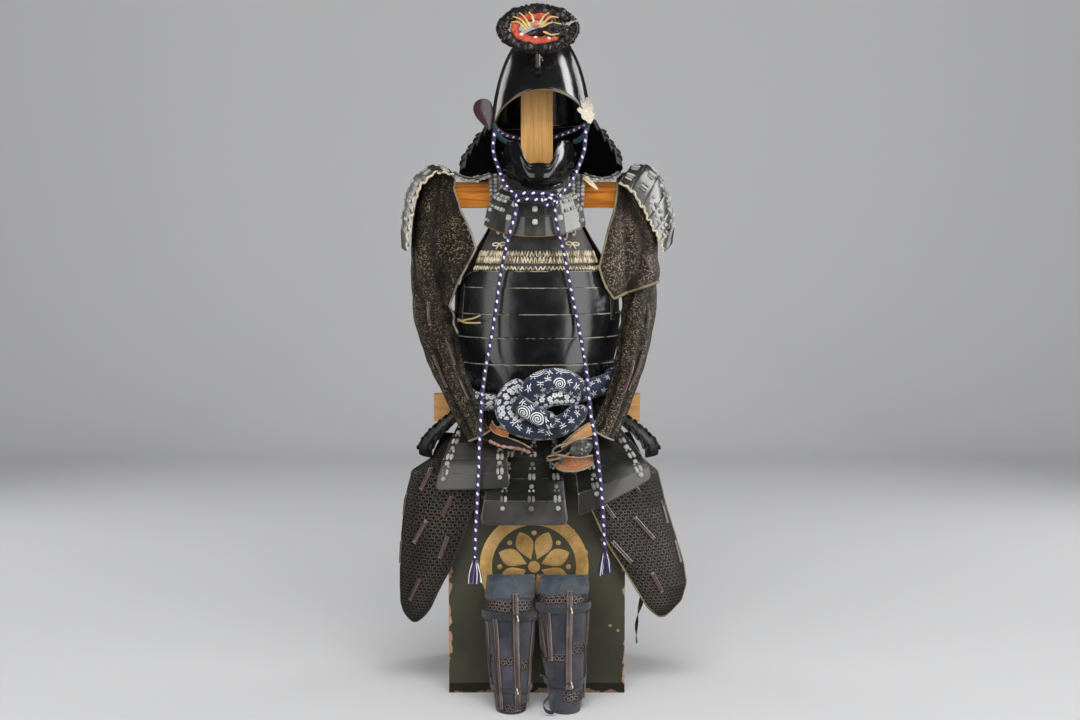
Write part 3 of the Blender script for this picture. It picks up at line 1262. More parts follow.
# ------------------------------------------------------------ box and stand
@dataclass
class ArmourBox:
    """The lidded storage box, whose front carries a gold hoop round a rosette."""

    width: float = 386
    depth: float = 340
    height: float = 490
    centre: tuple[float, float] = (-6, 281)
    hoop_outer: float = 119
    hoop_inner: float = 92
    relief: float = 0.5

    def disc(self, x: Array, z: Array, dome: Array) -> Array:
        """Returns points on the box's front, standing out by their share of the relief."""
        y = np.full_like(x, -self.depth / 2 - 0.15) - self.relief * dome
        return np.stack([x, y, z], -1)

    def hoop(self) -> Patch:
        """Makes the hoop: a flat ring with eased edges, its foot just off the lacquer."""
        turn = np.linspace(0, 2 * math.pi, 160, endpoint=False)[None, :]
        radius = np.array([self.hoop_inner, self.hoop_inner + 0.3, self.hoop_inner + 1.4,
                           self.hoop_outer - 1.4, self.hoop_outer])[:, None]
        dome = np.array([0.0, 0.7, 1.0, 1.0, 0.0])[:, None]
        x = self.centre[0] + radius * np.cos(turn)
        z = self.centre[1] + radius * np.sin(turn)
        return grid_patch(self.disc(x, z, np.broadcast_to(dome, x.shape)), ring=True, toward=(0, -1, 0))

    def leaf(self, turn: float, long: float, wide: float, start: float) -> Patch:
        """Makes a lozenge leaf with a rib: its width is a sine along it, its height falls to the edges.

        Args:
            turn: the way that it points.
            long: its length.
            wide: its greatest width.
            start: how far from the middle it starts.

        Returns:
            The patch.
        """
        along, across = np.meshgrid(np.linspace(0, 1, 25), np.linspace(-1, 1, 9), indexing="ij")
        half = wide / 2 * np.sin(math.pi * along ** 1.25) ** 0.9
        r, a = start + long * along, across * half
        x = self.centre[0] + r * math.cos(turn) - a * math.sin(turn)
        z = self.centre[1] + r * math.sin(turn) + a * math.cos(turn)
        dome = np.sqrt(np.clip(1 - np.abs(across) ** 6, 0, 1)) * (1 - 0.75 * np.exp(-(across / 0.12) ** 2))
        return grid_patch(self.disc(x, z, dome), toward=(0, -1, 0))

    def boss(self, radius: float, x: float = 0.0, z: float = 0.0) -> Patch:
        """Makes a low round boss about the rosette's middle, moved by x and z."""
        turn, r = np.meshgrid(np.linspace(0, 2 * math.pi, 28, endpoint=False), np.linspace(1, 0.05, 7))
        grid = self.disc(self.centre[0] + x + radius * r * np.cos(turn), self.centre[1] + z + radius * r
                         * np.sin(turn), 1.3 * np.sqrt(1 - r ** 2 * 0.999))
        return grid_patch(grid, ring=True, poles=(False, True), toward=(0, -1, 0))

    def build(self) -> None:
        """Dresses the box and lays on the rosette: eight leaves, eight dots between them and a boss."""
        dress(BOX_LACQUER, "box_body", "box_lid")
        dress(PLINTH_LACQUER, "box_plinth")
        turns = [math.radians(45 * k + 22.5) for k in range(8)]
        leaves = [self.leaf(turn, 66, 38, 17) for turn in turns]
        dots = [self.boss(5.5, 75 * math.cos(t + math.pi / 8), 75 * math.sin(t + math.pi / 8))
                for t in turns]
        put("box_roundel", joined([self.hoop(), *leaves, *dots, self.boss(13)]), GOLD, "black_lacquer")


@dataclass
class Stand:
    """The wooden T stand inside the armour."""

    def build(self) -> None:
        """Dresses the boards."""
        dress(POST_WOOD, "stand_post")
        dress(BOARD_WOOD, "stand_base", "hip_board")
        dress(AMBER_WOOD, "shoulder_bar")


# ------------------------------------------------------------ cuirass
TORSO = ((655, 160, 121, 108), (721, 173, 132, 114), (780, 183, 140, 120), (832, 185, 143, 124),
         (890, 180, 140, 126), (945, 164, 130, 120), (1000, 140, 112, 112), (1060, 116, 92, 100),
         (1085, 106, 84, 95))
STEP = 4.2
TUCK = 8


def torso(z: Array, degrees: Array, out: Array | float = 0.0) -> Array:
    """Returns the cuirass's outer face: at each height, sine and cosine each to the power 0.88.

    Args:
        z: the height.
        degrees: the angle round from the front towards +X.
        out: how far beyond the face.

    Returns:
        The points.
    """
    z, degrees = np.broadcast_arrays(np.asarray(z, float), np.asarray(degrees, float))
    half, front, back = row_at(TORSO, z)
    turn = np.radians(degrees)
    square = lambda c: np.sign(c) * np.abs(c) ** 0.88
    depth = np.where(np.cos(turn) > 0, front, back)
    return np.stack([(half + out) * square(np.sin(turn)), -(depth + out) * square(np.cos(turn)), z], -1)


@dataclass
class Cuirass:
    """Five front plates and their back, the leather-faced chest and upper back, and the shoulder straps."""

    edges: tuple[float, ...] = (926, 890, 832, 780, 721, 655)
    band_height: float = 956
    row_height: float = 932
    seam: float = 89
    armhole_from: float = 48
    armhole_drop: float = 58
    strap_line: tuple[tuple[float, float, float], ...] = ((0, -95, 1052), (0.25, -73, 1103),
                                                          (0.5, -38, 1136),
                                                         (0.75, 16, 1134), (1, 88, 1086))

    def front_plate(self, i: int) -> Surface:
        """Returns a front plate, which leans out to its top edge; the first dips at the sides."""
        top, last = self.edges[i], i == len(self.edges) - 2
        bottom = self.edges[i + 1] - (0 if last else TUCK)

        def surface(u: Array, v: Array) -> Array:
            """Returns the plate's points."""
            degrees = mix(-self.seam, self.seam, u)
            t = (np.abs(degrees) - self.armhole_from) / (90 - self.armhole_from)
            dip = self.armhole_drop * smooth(t) if i == 0 else 0.0
            z = mix(bottom, top - dip, v)
            return torso(z, degrees, STEP * (z - bottom) / (top - bottom) + 0.25
                         * noise(degrees / 14, z / 30, i))
        return surface

    def chest(self, u: Array, v: Array) -> Array:
        """Returns the chest plate: it narrows to the armholes and its neck edge dips at the middle."""
        side = 2 * u - 1
        half_angle = mix(55, 42, v ** 1.8)
        top = mix(1016, 1052, np.abs(side) ** 2)
        return torso(mix(self.edges[0] - TUCK, top, v), side * half_angle, -1)

    def back_upper(self, u: Array, v: Array) -> Array:
        """Returns the upper back, which narrows to the armholes."""
        side = 2 * u - 1
        half_angle = mix(80, 53, smooth(v))
        top = mix(1078, 1062, np.abs(side) ** 2)
        return torso(mix(self.edges[1] - TUCK, top, v), 180 + side * half_angle, -1.8)

    def crossed(self, height: float, count: int, lean: float, size: tuple[float, float, float], out: float,
                seed: int) -> Patch:
        """Makes a row of slim lumps of cord that lean one way and then the other across the chest.

        Args:
            height: the row's height.
            count: how many lumps lean each way.
            lean: how far they lean, in radians.
            size: a lump's half width, half length and depth.
            out: how far the row stands off the chest.
            seed: what its unevenness depends on.

        Returns:
            The patch.
        """
        rng, copies = np.random.default_rng(seed), []
        for side, shift in ((1, 0.0), (-1, 0.45)):
            degrees = np.linspace(-50, 50, count) + shift * 100 / count
            points, frames = frames_on(lambda u, v: torso(mix(900, 1052, v), mix(-60, 60, u),
                                                          out + 0.5 * side),
                                       (degrees + 60) / 120,
                                       (height - 900 + rng.normal(0, 0.5, count)) / 152, (0, -1, 0))
            turn = side * lean + rng.normal(0, 0.06, count)
            across, along = frames[..., 0], frames[..., 1]
            leaned = np.stack([across * np.cos(turn)[:, None] - along * np.sin(turn)[:, None],
                               across * np.sin(turn)[:, None] + along * np.cos(turn)[:, None],
                               frames[..., 2]], -1)
            copies.append(scattered(pebble(*size, 0.7, 6, 6), points, leaned,
                                    rng.uniform(0.15, 1.0, count), rng.uniform(0.88, 1.1, count)))
        return joined(copies)

    def band(self) -> Patch:
        """Makes the wide cross-lacing on the chest: two tall rows over a low one."""
        return joined([self.crossed(self.band_height + 7.0, 46, 0.24, (1.6, 8.0, 2.6), 1.2, 11),
                       self.crossed(self.band_height - 6.5, 46, 0.20, (1.6, 8.2, 2.8), 1.6, 12)])

    def zigzag(self) -> Patch:
        """Makes the narrow row of crosses under the band and the cord between them."""
        run = np.linspace(-51, 51, 140)
        cord = tube(torso(np.full(140, self.row_height + 11.0), run, 2.0), 1.3, 7, side=(0, 0, 1),
                    ends=1, tone=0.1)
        return joined([self.crossed(self.row_height, 40, 0.5, (1.6, 5.6, 2.0), 3.6, 5), cord])

    def toggles(self) -> Patch:
        """Makes the hanging toggle loops under the throat guard: teardrop rings of cord with a bead."""
        copies = []
        for x, top in ((-84, 1037), (-68, 1026), (62, 1022), (80, 1032)):
            y = torso(np.array(1015.0), np.array(math.degrees(math.asin(abs(x) / 135))), 3.5)[1]
            t = np.linspace(0, 2 * math.pi, 25)
            loop = np.stack([x + 4.6 * np.sin(t), np.full(25, y - 1.5), top - 16 - 15 * np.cos(t)], -1)
            copies.append(tube(loop, 1.7, 7, side=(0, 1, 0), tone=0.8))
            bead = pebble(4.0, 6.0, 3.6, 1.0, 8, 6)
            copies.append(lump(bead, (x, y - 4, top - 27), 0.75))
        return joined(copies)

    def bows(self) -> Patch:
        """Makes the two tied bows on the chest: two loops, a knot and two ends of cord each."""
        copies = []
        for x, z, lean in ((-82, 984, 0.1), (78, 985, -0.15)):
            y = torso(np.array(float(z)), np.array(math.degrees(math.asin(abs(x) / 150))), 5.0)[1] - 1
            for side in (-1, 1):
                t = np.linspace(0, 2 * math.pi, 21)
                reach = 8.5 * (1 - np.cos(t)) / 2
                loop = np.stack([x + side * reach * 1.7, y + 1.2 - 2 * np.sin(t / 2),
                                 z + 3.2 * np.sin(t) + lean * reach * side], -1)
                copies.append(tube(loop, 1.5, 7, side=(0, 1, 0.1), tone=0.85))
                end = curve_through([(x, y, z), (x + side * 4, y - 1, z - 6),
                                     (x + side * 8, y + 1, z - 12)], 12)
                copies.append(tube(end, 1.4, 7, side=(0, 1, 0), ends=1, tone=0.7))
            copies.append(lump(pebble(4.2, 3.6, 3.4, 0.9, 8, 6), (x, y - 1.5, z), 1.0))
        return joined(copies)

    def strap(self, side: int) -> Surface:
        """Returns a shoulder strap's surface, from the chest over the bar to the back."""
        def surface(u: Array, v: Array) -> Array:
            """Returns the strap's points."""
            y, z = soft_rows(self.strap_line, v)
            x = side * mix(66, mix(102, 114, v), u)
            return np.stack([x, y, z - 4 * (2 * u - 1) ** 2], -1)
        return surface

    def strap_beads(self, side: int) -> Patch:
        """Makes the nubby lacing on a strap's front: rows of round lumps."""
        u, v = np.meshgrid(np.linspace(0.10, 0.90, 4), np.linspace(0.03, 0.5, 10))
        v = v + np.where(np.arange(4) % 2 == 0, 0.0, 0.02)
        points, frames = frames_on(self.strap(side), u.ravel(), v.ravel(), (0, -0.4, 1))
        rng = np.random.default_rng(9 + side)
        return scattered(pebble(4.2, 4.6, 3.2, 0.85, 8, 6), points, frames,
                         rng.uniform(0.1, 1.0, len(points)), rng.uniform(0.8, 1.15, len(points)))

    def build(self) -> None:
        """Builds the plates from the top down, then the back, the leather, the lacing and the straps."""
        for i in range(len(self.edges) - 1):
            grid = sampled(self.front_plate(i), 96, 12)
            put(f"front_plate_{i + 1}", grid_patch(grid), BLACK, "black_lacquer",
                (f"cuirass_front_plate_{i + 1}",), 2.6, 0.7)
        backs = []
        for i in range(1, len(self.edges) - 1):
            top, bottom = self.edges[i], self.edges[i + 1] - (TUCK - 6 if i < len(self.edges) - 2 else 0)
            behind = lambda u: mix(180 - self.seam, 180 + self.seam, u)
            surface = lambda u, v, a=bottom, b=top: torso(mix(a, b, v), behind(u), STEP * v)
            backs.append(grid_patch(sampled(surface, 80, 7)))
        put("back_plates", joined(backs), BLACK, "black_lacquer", ("cuirass_back_plates",), 2.4, 0.6)
        put("chest_plate", grid_patch(sampled(self.chest, 64, 32)), CHEST_LEATHER, "dark_leather",
            ("cuirass_chest_plate",), *LEATHER_WALL)
        put("back_upper", grid_patch(sampled(self.back_upper, 56, 32)), CHEST_LEATHER, "dark_leather",
            ("cuirass_back_upper",), *LEATHER_WALL)
        put("chest_lacing_band", joined([self.band(), self.zigzag()]), CREAM_SILK, "silk_cord")
        edging = []
        for side in (-1, 1):
            strip = lambda u, v: torso(mix(816, 896 - 8 * u, v), side * mix(58, 66, u),
                                       STEP + 0.2 + 0.4 * noise(u * 4, v * 9, side + 1))
            edging.append(grid_patch(sampled(strip, 9, 40), toward=(side, -1, 0)))
        put("armhole_leather", joined(edging), WORN_LEATHER, "dark_leather", (), 1.0, 0.3)
        put("chest_toggles", joined([self.toggles(), self.bows()]), CREAM_SILK, "silk_cord")
        for label, side in (("left", -1), ("right", 1)):
            put(f"strap_{label}", grid_patch(sampled(self.strap(side), 14, 44), toward=(0, 0, 1)),
                CHEST_LEATHER, "dark_leather", (f"shoulder_strap_{label}",), 4.6, 1.4)
            put(f"strap_beads_{label}", self.strap_beads(side), KNOT_SILK, "silk_cord")
        self.ties()

    def ties(self) -> None:
        """Makes the side's ochre tie cords and the loop by the right shoulder."""
        paths = []
        for k, rise in enumerate((4, -6)):
            paths.append(curve_through([(-176, -66, 812 + 6 * k), (-160, -100, 815 + rise / 2),
                                        (-140, -120, 818 + rise), (-122, -133, 823 + rise * 1.6)], 40))
        put("side_tie_cords", joined([tube(p, 1.9, 8, side=(0, 0, 1), ends=1, tone=0.8) for p in paths]),
            OCHRE_SILK, "silk_cord")
        loop = curve_through([(104, -62, 1128), (112, -76, 1120), (124, -80, 1110), (133, -72, 1104),
                              (128, -62, 1112), (116, -62, 1124), (108, -60, 1132)], 60)
        knot = lump(pebble(6, 6, 5, 0.9, 10, 7), (106, -66, 1126), 0.4)
        put("shoulder_loop", joined([tube(loop, 2.4, 8, side=(1, 0, 0), tone=1.0), knot]), CREAM_SILK,
            "silk_cord")


# ------------------------------------------------------------ tassets
@dataclass(frozen=True)
class TassetForm:
    """Where a tasset hangs, in which direction and how far it spreads, and how its lowest lame lies.

    It hangs at an angle round the cuirass's hem and runs from (x, y) at its top to (to_x, to_y) at `hem`,
    turned about the upright and rolled, in degrees. Its columns of knots stand from -1 to 1 across it.
    """

    name: str
    hang: float
    spread: float
    x: float
    y: float
    to_x: float
    to_y: float
    hem: float
    half_top: float
    half_hem: float
    turn: float
    roll: float
    columns: tuple[float, ...]

    @property
    def toward(self) -> tuple[float, float, float]:
        """The direction that it faces."""
        return math.sin(math.radians(self.turn)), -math.cos(math.radians(self.turn)), 0


@dataclass
class Tassets:
    """The panels of lacquered lames that hang from the cuirass's hem, with their lacing and knots."""

    lames: int = 5
    top: float = 612
    bow: float = 9
    hem: float = 654.6
    forms: tuple[TassetForm, ...] = (
        TassetForm("centre", -4, 22, -12, -127, -27, -228, 383, 62, 96, 0, 0, (-0.52, 0.16, 0.80)),
        TassetForm("front_left", -41, 11, -112, -134, -140, -233, 462, 54, 84, -12, 4, (-0.80, 0.78)),
        TassetForm("front_right", 39, 14, 102, -134, 170, -230, 442, 56, 90, 12, 25, (-0.52, 0.72)),
        TassetForm("side_left", -67, 7, -177, -81, -256, -94, 515, 38, 42, -66, 0, (-0.7, 0.7)),
        TassetForm("side_right", 66, 8, 176, -84, 264, -94, 515, 38, 42, 66, 0, (-0.7, 0.7)),
        TassetForm("back_left", 212, 26, -82, 116, -100, 206, 452, 72, 84, 184, 0, (-0.75, 0.0, 0.75)),
        TassetForm("back_right", 148, 26, 82, 116, 100, 206, 452, 72, 84, 176, 0, (-0.75, 0.0, 0.75)))

    def surface(self, form: TassetForm, lift: float = 0.0) -> Callable[[Array, Array,
                                                                        Array | float], Array]:
        """Returns a tasset's face: a point at side -1 to 1, share t down it, and out from it."""
        heading, roll = math.radians(form.turn), math.radians(form.roll)

        def face(side: Array, t: Array, out: Array | float) -> Array:
            """Returns the panel's points: it swings out as a sine, widens evenly and is bowed."""
            half = mix(form.half_top, form.half_hem, t)
            swing = np.sin(t * math.pi / 2)
            across = side * half * np.cos(roll * t)
            rise = out + lift - self.bow * side ** 2
            x = mix(form.x, form.to_x, swing) + across * math.cos(heading) + rise * math.sin(heading)
            y = mix(form.y, form.to_y, swing) + across * math.sin(heading) - rise * math.cos(heading)
            return np.stack([x, y, mix(self.top, form.hem, t) + side * half * np.sin(roll * t)], -1)
        return face

    def lame(self, form: TassetForm, i: int) -> Patch:
        """Makes one lame, its top edge outside the lame above; the last has rounded corners."""
        face, last = self.surface(form), i == self.lames - 1
        u, v = np.meshgrid(np.linspace(-1, 1, 41), np.linspace(0, 1, 9))
        corner = 0.12 if last else 0.03
        near = np.clip((np.abs(u) - (1 - corner)) / corner, 0, 1)
        cut = (1 - np.sqrt(np.clip(1 - near ** 2, 0, 1))) * (0.3 if last else 0.1)
        start = (i - (0.0 if i == 0 else 0.16)) / self.lames
        t = mix(start, (i + 1) / self.lames - cut / self.lames, v)
        out = STEP * (1 - (t * self.lames - i)) - (0.6 if i else 0)
        return grid_patch(face(u, t, np.minimum(out, STEP + 0.4) + 0.3 * noise(u * 2, v * 2, i)),
                          toward=form.toward)

    def lacing(self, form: TassetForm) -> Patch:
        """Makes the black lacing from the hem to the first lame: cords side by side."""
        face = self.surface(form)
        sides = np.linspace(-0.96, 0.96, max(8, int(form.half_top / 3.4)))
        upper = torso(self.hem + 2, form.hang + sides * form.spread, 0.5)
        lower = face(sides, np.full(len(sides), 0.05), STEP)
        t = np.linspace(0, 1, 9)[:, None]
        cords = []
        for k, (a, b) in enumerate(zip(upper, lower)):
            bulge = np.sin(math.pi * t) * (2.0 + 0.6 * math.sin(k * 1.7)) * unit(np.array([b[0], b[1],
                                                                                           0.0]) + 1e-6)
            cords.append(tube(mix(a, b, t) + bulge, 2.3, 7, side=(1, 0.3, 0),
                              tone=0.3 + 0.4 * (k % 3 == 0)))
        return joined(cords)

    def backing(self, form: TassetForm) -> Patch:
        """Makes the leather behind the lacing, straight from the hem to the first lame."""
        face = self.surface(form)
        u, v = np.meshgrid(np.linspace(-1, 1, 13), np.linspace(0, 1, 7))
        grid = mix(torso(np.full(u.shape, self.hem), form.hang + u * form.spread, -1.0),
                   face(u, 0 * u, STEP - 1.0), v[..., None])
        return grid_patch(grid, toward=form.toward)

    def knots(self, form: TassetForm) -> Patch:
        """Makes the paired knots: at each lame's edge a pair of uprights above it and a round pair below."""
        face, rng, copies = self.surface(form), np.random.default_rng(len(form.name) * 7
                                                                      + int(form.hem)), []
        upright, round_, small = pebble(3.9, 8.2, 3.6, 0.75, 8, 6), pebble(5.6, 5.6, 4.2, 0.85, 10,
                                                                           6), pebble(3.0, 3.4,
                                                                                      2.8, 0.9, 7, 5)
        for column in form.columns:
            for i in range(1, self.lames):
                for shape, drop, gap in ((small, -0.60, 4.4), (upright, -0.22, 4.3), (round_, 0.20, 0.0)):
                    t = (i + drop) / self.lames
                    half = mix(form.half_top, form.half_hem, t)
                    sides = column + np.array([-gap, gap] if gap else [0.0]) / half
                    surface = lambda u, v: face(u, v, STEP * (0.25 if drop < 0 else 0.8) + 1.2)
                    points, frames = frames_on(surface, sides, np.full(len(sides), t), form.toward)
                    copies.append(scattered(shape, points, frames, rng.uniform(0.15, 1.0, len(sides)),
                                            rng.uniform(0.88, 1.1, len(sides))))
        return joined(copies)

    def build(self) -> None:
        """Builds each tasset's lames, its lacing and its knots."""
        for form in self.forms:
            dark = form.name.startswith(("side", "back"))
            plain = self.lames if dark else self.lames - 1
            faded = 2 if form.name == "front_left" else plain
            put(f"tasset_{form.name}_lames", joined([self.lame(form, i) for i in range(faded)]), NECK
                if dark else LAME, "black_lacquer", (f"tasset_{form.name}",), *LAME_WALL)
            if not dark:
                put(f"tasset_{form.name}_hem",
                    joined([self.lame(form, i) for i in range(faded, self.lames)]), HEM_LAME,
                    "olive_lacquer", (), *LAME_WALL)
            put(f"tasset_{form.name}_backing", self.backing(form), BLACK_CLOTH, "dark_leather", (), 1.4)
            put(f"tasset_{form.name}_lacing", self.lacing(form), BLACK_SILK, "silk_cord")
            put(f"tasset_{form.name}_knots", self.knots(form), BLACK_SILK if dark else KNOT_SILK,
                "silk_cord")


# ------------------------------------------------------------ thigh and shin guards
def splint(path: Array, across: Array, out: Array, width: float, height: float) -> Patch:
    """Makes a splint: a bar with two ridges and a groove between, rounded off at its ends."""
    w, h = width / 2, height
    profile = [(-w, 0), (w, 0), (w, h * 0.35), (w * 0.72, h * 0.9), (w * 0.42, h), (w * 0.14, h * 0.55),
               (0, h * 0.45), (-w * 0.14, h * 0.55), (-w * 0.42, h), (-w * 0.72, h * 0.9), (-w, h * 0.35)]
    return swept(path, across, out, profile, 1.0)


def piping(path: Array, radius: float, side: Sequence[float] = (0, 1, 0), wave: float = 0.0) -> Patch:
    """Makes the rolled binding along an edge, a little uneven when it has a wave."""
    size = radius * (1 + wave * noise(np.arange(len(path)) / 3.0, np.zeros(len(path)), 4))
    return tube(path, size, 8, side=side, ends=1.0, tone=0.6)


@dataclass
class ThighGuards:
    """The mail thigh guards, each a cloth turned back over a quarter circle, with lacquered splints."""

    left: tuple[tuple[float, ...], ...] = (
        (566, 100, 208, 108, 44), (512, 118, 234, 178, 68), (486, 124, 276, 198, 84),
        (420, 136, 294, 200, 100), (345, 163, 301, 200, 100), (285, 187, 303, 198, 90),
        (232, 215, 303, 194, 72), (194, 232, 301, 187, 54), (172, 248, 292, 180, 30),
        (160, 263, 275, 172, 8))
    right: tuple[tuple[float, ...], ...] = (
        (566, 100, 208, 108, 44), (512, 110, 236, 180, 64), (486, 108, 268, 202, 80),
        (410, 120, 286, 200, 100), (340, 152, 308, 200, 104), (280, 190, 326, 198, 96),
        (235, 217, 333, 194, 80), (200, 238, 322, 188, 62), (182, 254, 302, 182, 38),
        (172, 268, 284, 176, 12))
    # each splint: its upper end's x and z, its lower end's x and z
    splints_left: tuple[tuple[float, ...], ...] = (
        (230, 497, 252, 451), (184, 442, 204, 398), (241, 385, 268, 334), (193, 354, 211, 305),
        (255, 258, 278, 207), (290, 436, 298, 388), (297, 330, 300, 280))
    splints_right: tuple[tuple[float, ...], ...] = (
        (147, 424, 167, 394), (202, 477, 222, 447), (213, 393, 255, 344), (163, 343, 205, 296),
        (251, 272, 273, 228), (276, 420, 288, 372), (306, 330, 318, 284))

    def surface(self, side: int, lift: float = 0.0) -> Surface:
        """Returns a guard's outer face: across from its inner to its outer edge as a quarter circle."""
        table = self.left if side < 0 else self.right
        lowest, highest = table[-1][0], table[0][0]

        def face(u: Array, v: Array) -> Array:
            """Returns the guard's points, from its foot to its top, with soft folds from the top."""
            z = mix(lowest, highest, v)
            inner, outer, front, wrap = row_at(table, z)
            turn = u * math.pi / 2
            fold = 2.4 * np.sin(9.5 * u + 2.2 * v + 0.6
                                * side) * smooth(v * 1.2) * smooth((1 - u) * 6) * smooth(u * 8)
            sag = 1.8 * noise(u * 3.2, v * 4.1, 3 + side)
            raised = lift + fold + sag - 1.0
            x = mix(inner, outer, np.sin(turn)) + raised * np.sin(turn)
            return np.stack([side * x, -front + wrap * (1 - np.cos(turn)) - raised * np.cos(turn), z], -1)
        return face

    def place(self, side: int, x: Array, z: Array) -> tuple[Array, Array]:
        """Returns where on a guard a point seen from the front lies, as u and v."""
        table = self.left if side < 0 else self.right
        inner, outer, _, _ = row_at(table, z)
        u = np.arcsin(np.clip((x - inner) / (outer - inner), 0.0, 0.97)) * 2 / math.pi
        return u, (z - table[-1][0]) / (table[0][0] - table[-1][0])

    def build(self) -> None:
        """Builds each guard's mail, its splints and its binding, then the loose tie."""
        for label, side in (("left", -1), ("right", 1)):
            face = self.surface(side)
            sheet = put(f"thigh_mail_{label}", grid_patch(sampled(face, 64, 92), toward=(0, -1, 0)),
                        THIGH_MAIL, "mail_cloth", (f"thigh_guard_{label}",), *MAIL_WALL)
            bars, rivets = [], []
            for x0, z0, x1, z1 in self.splints_left if side < 0 else self.splints_right:
                t = np.linspace(0, 1, 18)
                u, v = self.place(side, mix(x0, x1, t), mix(z0, z1, t))
                path, frames = frames_on(self.surface(side, 0.6), u, v, (0, -1, 0))
                along = tangents(path)
                across = unit(np.cross(along, frames[..., 2]))
                bars.append(splint(path, across, frames[..., 2], 10.5, 3.4))
                rivets.append(scattered(pebble(1.8, 1.8, 1.3, 1, 7, 4),
                                        path[[1, -2]] + frames[[1, -2], :, 2] * 2.6, frames[[1, -2]]))
            put(f"thigh_splints_{label}", joined(bars + rivets), REDDISH, "black_lacquer")
            t = np.linspace(0, 1, 120)
            rim = np.concatenate([face(0.0 * t, 1 - t), face(t, 0.0 * t)[1:], face(0.0 * t + 1, t)[1:]])
            binding = piping(curve_through(rim[::3], 260), 2.0, (0.2, 1, 0.3), 0.25)
            put(f"thigh_binding_{label}", binding, OCHRE_PIPING if side > 0 else BLACK_CLOTH,
                "dark_leather")
        u, v = np.meshgrid(np.linspace(-0.5, 0.5, 7), np.linspace(0, 1, 70))
        curl = 1 + 0.35 * np.sin(v * 11)
        grid = np.stack([236 - 10 * v + 13 * u * np.cos(v * 2 * curl) + 5 * np.sin(v * 6),
                         -96 + 11 * u * np.sin(v * 2 * curl), mix(262, 92, v)], -1)
        tie = put("thigh_tie", grid_patch(grid, toward=(0, -1, 0)), BLACK_CLOTH, "indigo_cloth",
                  ("thigh_guard_tie",), 1.2)


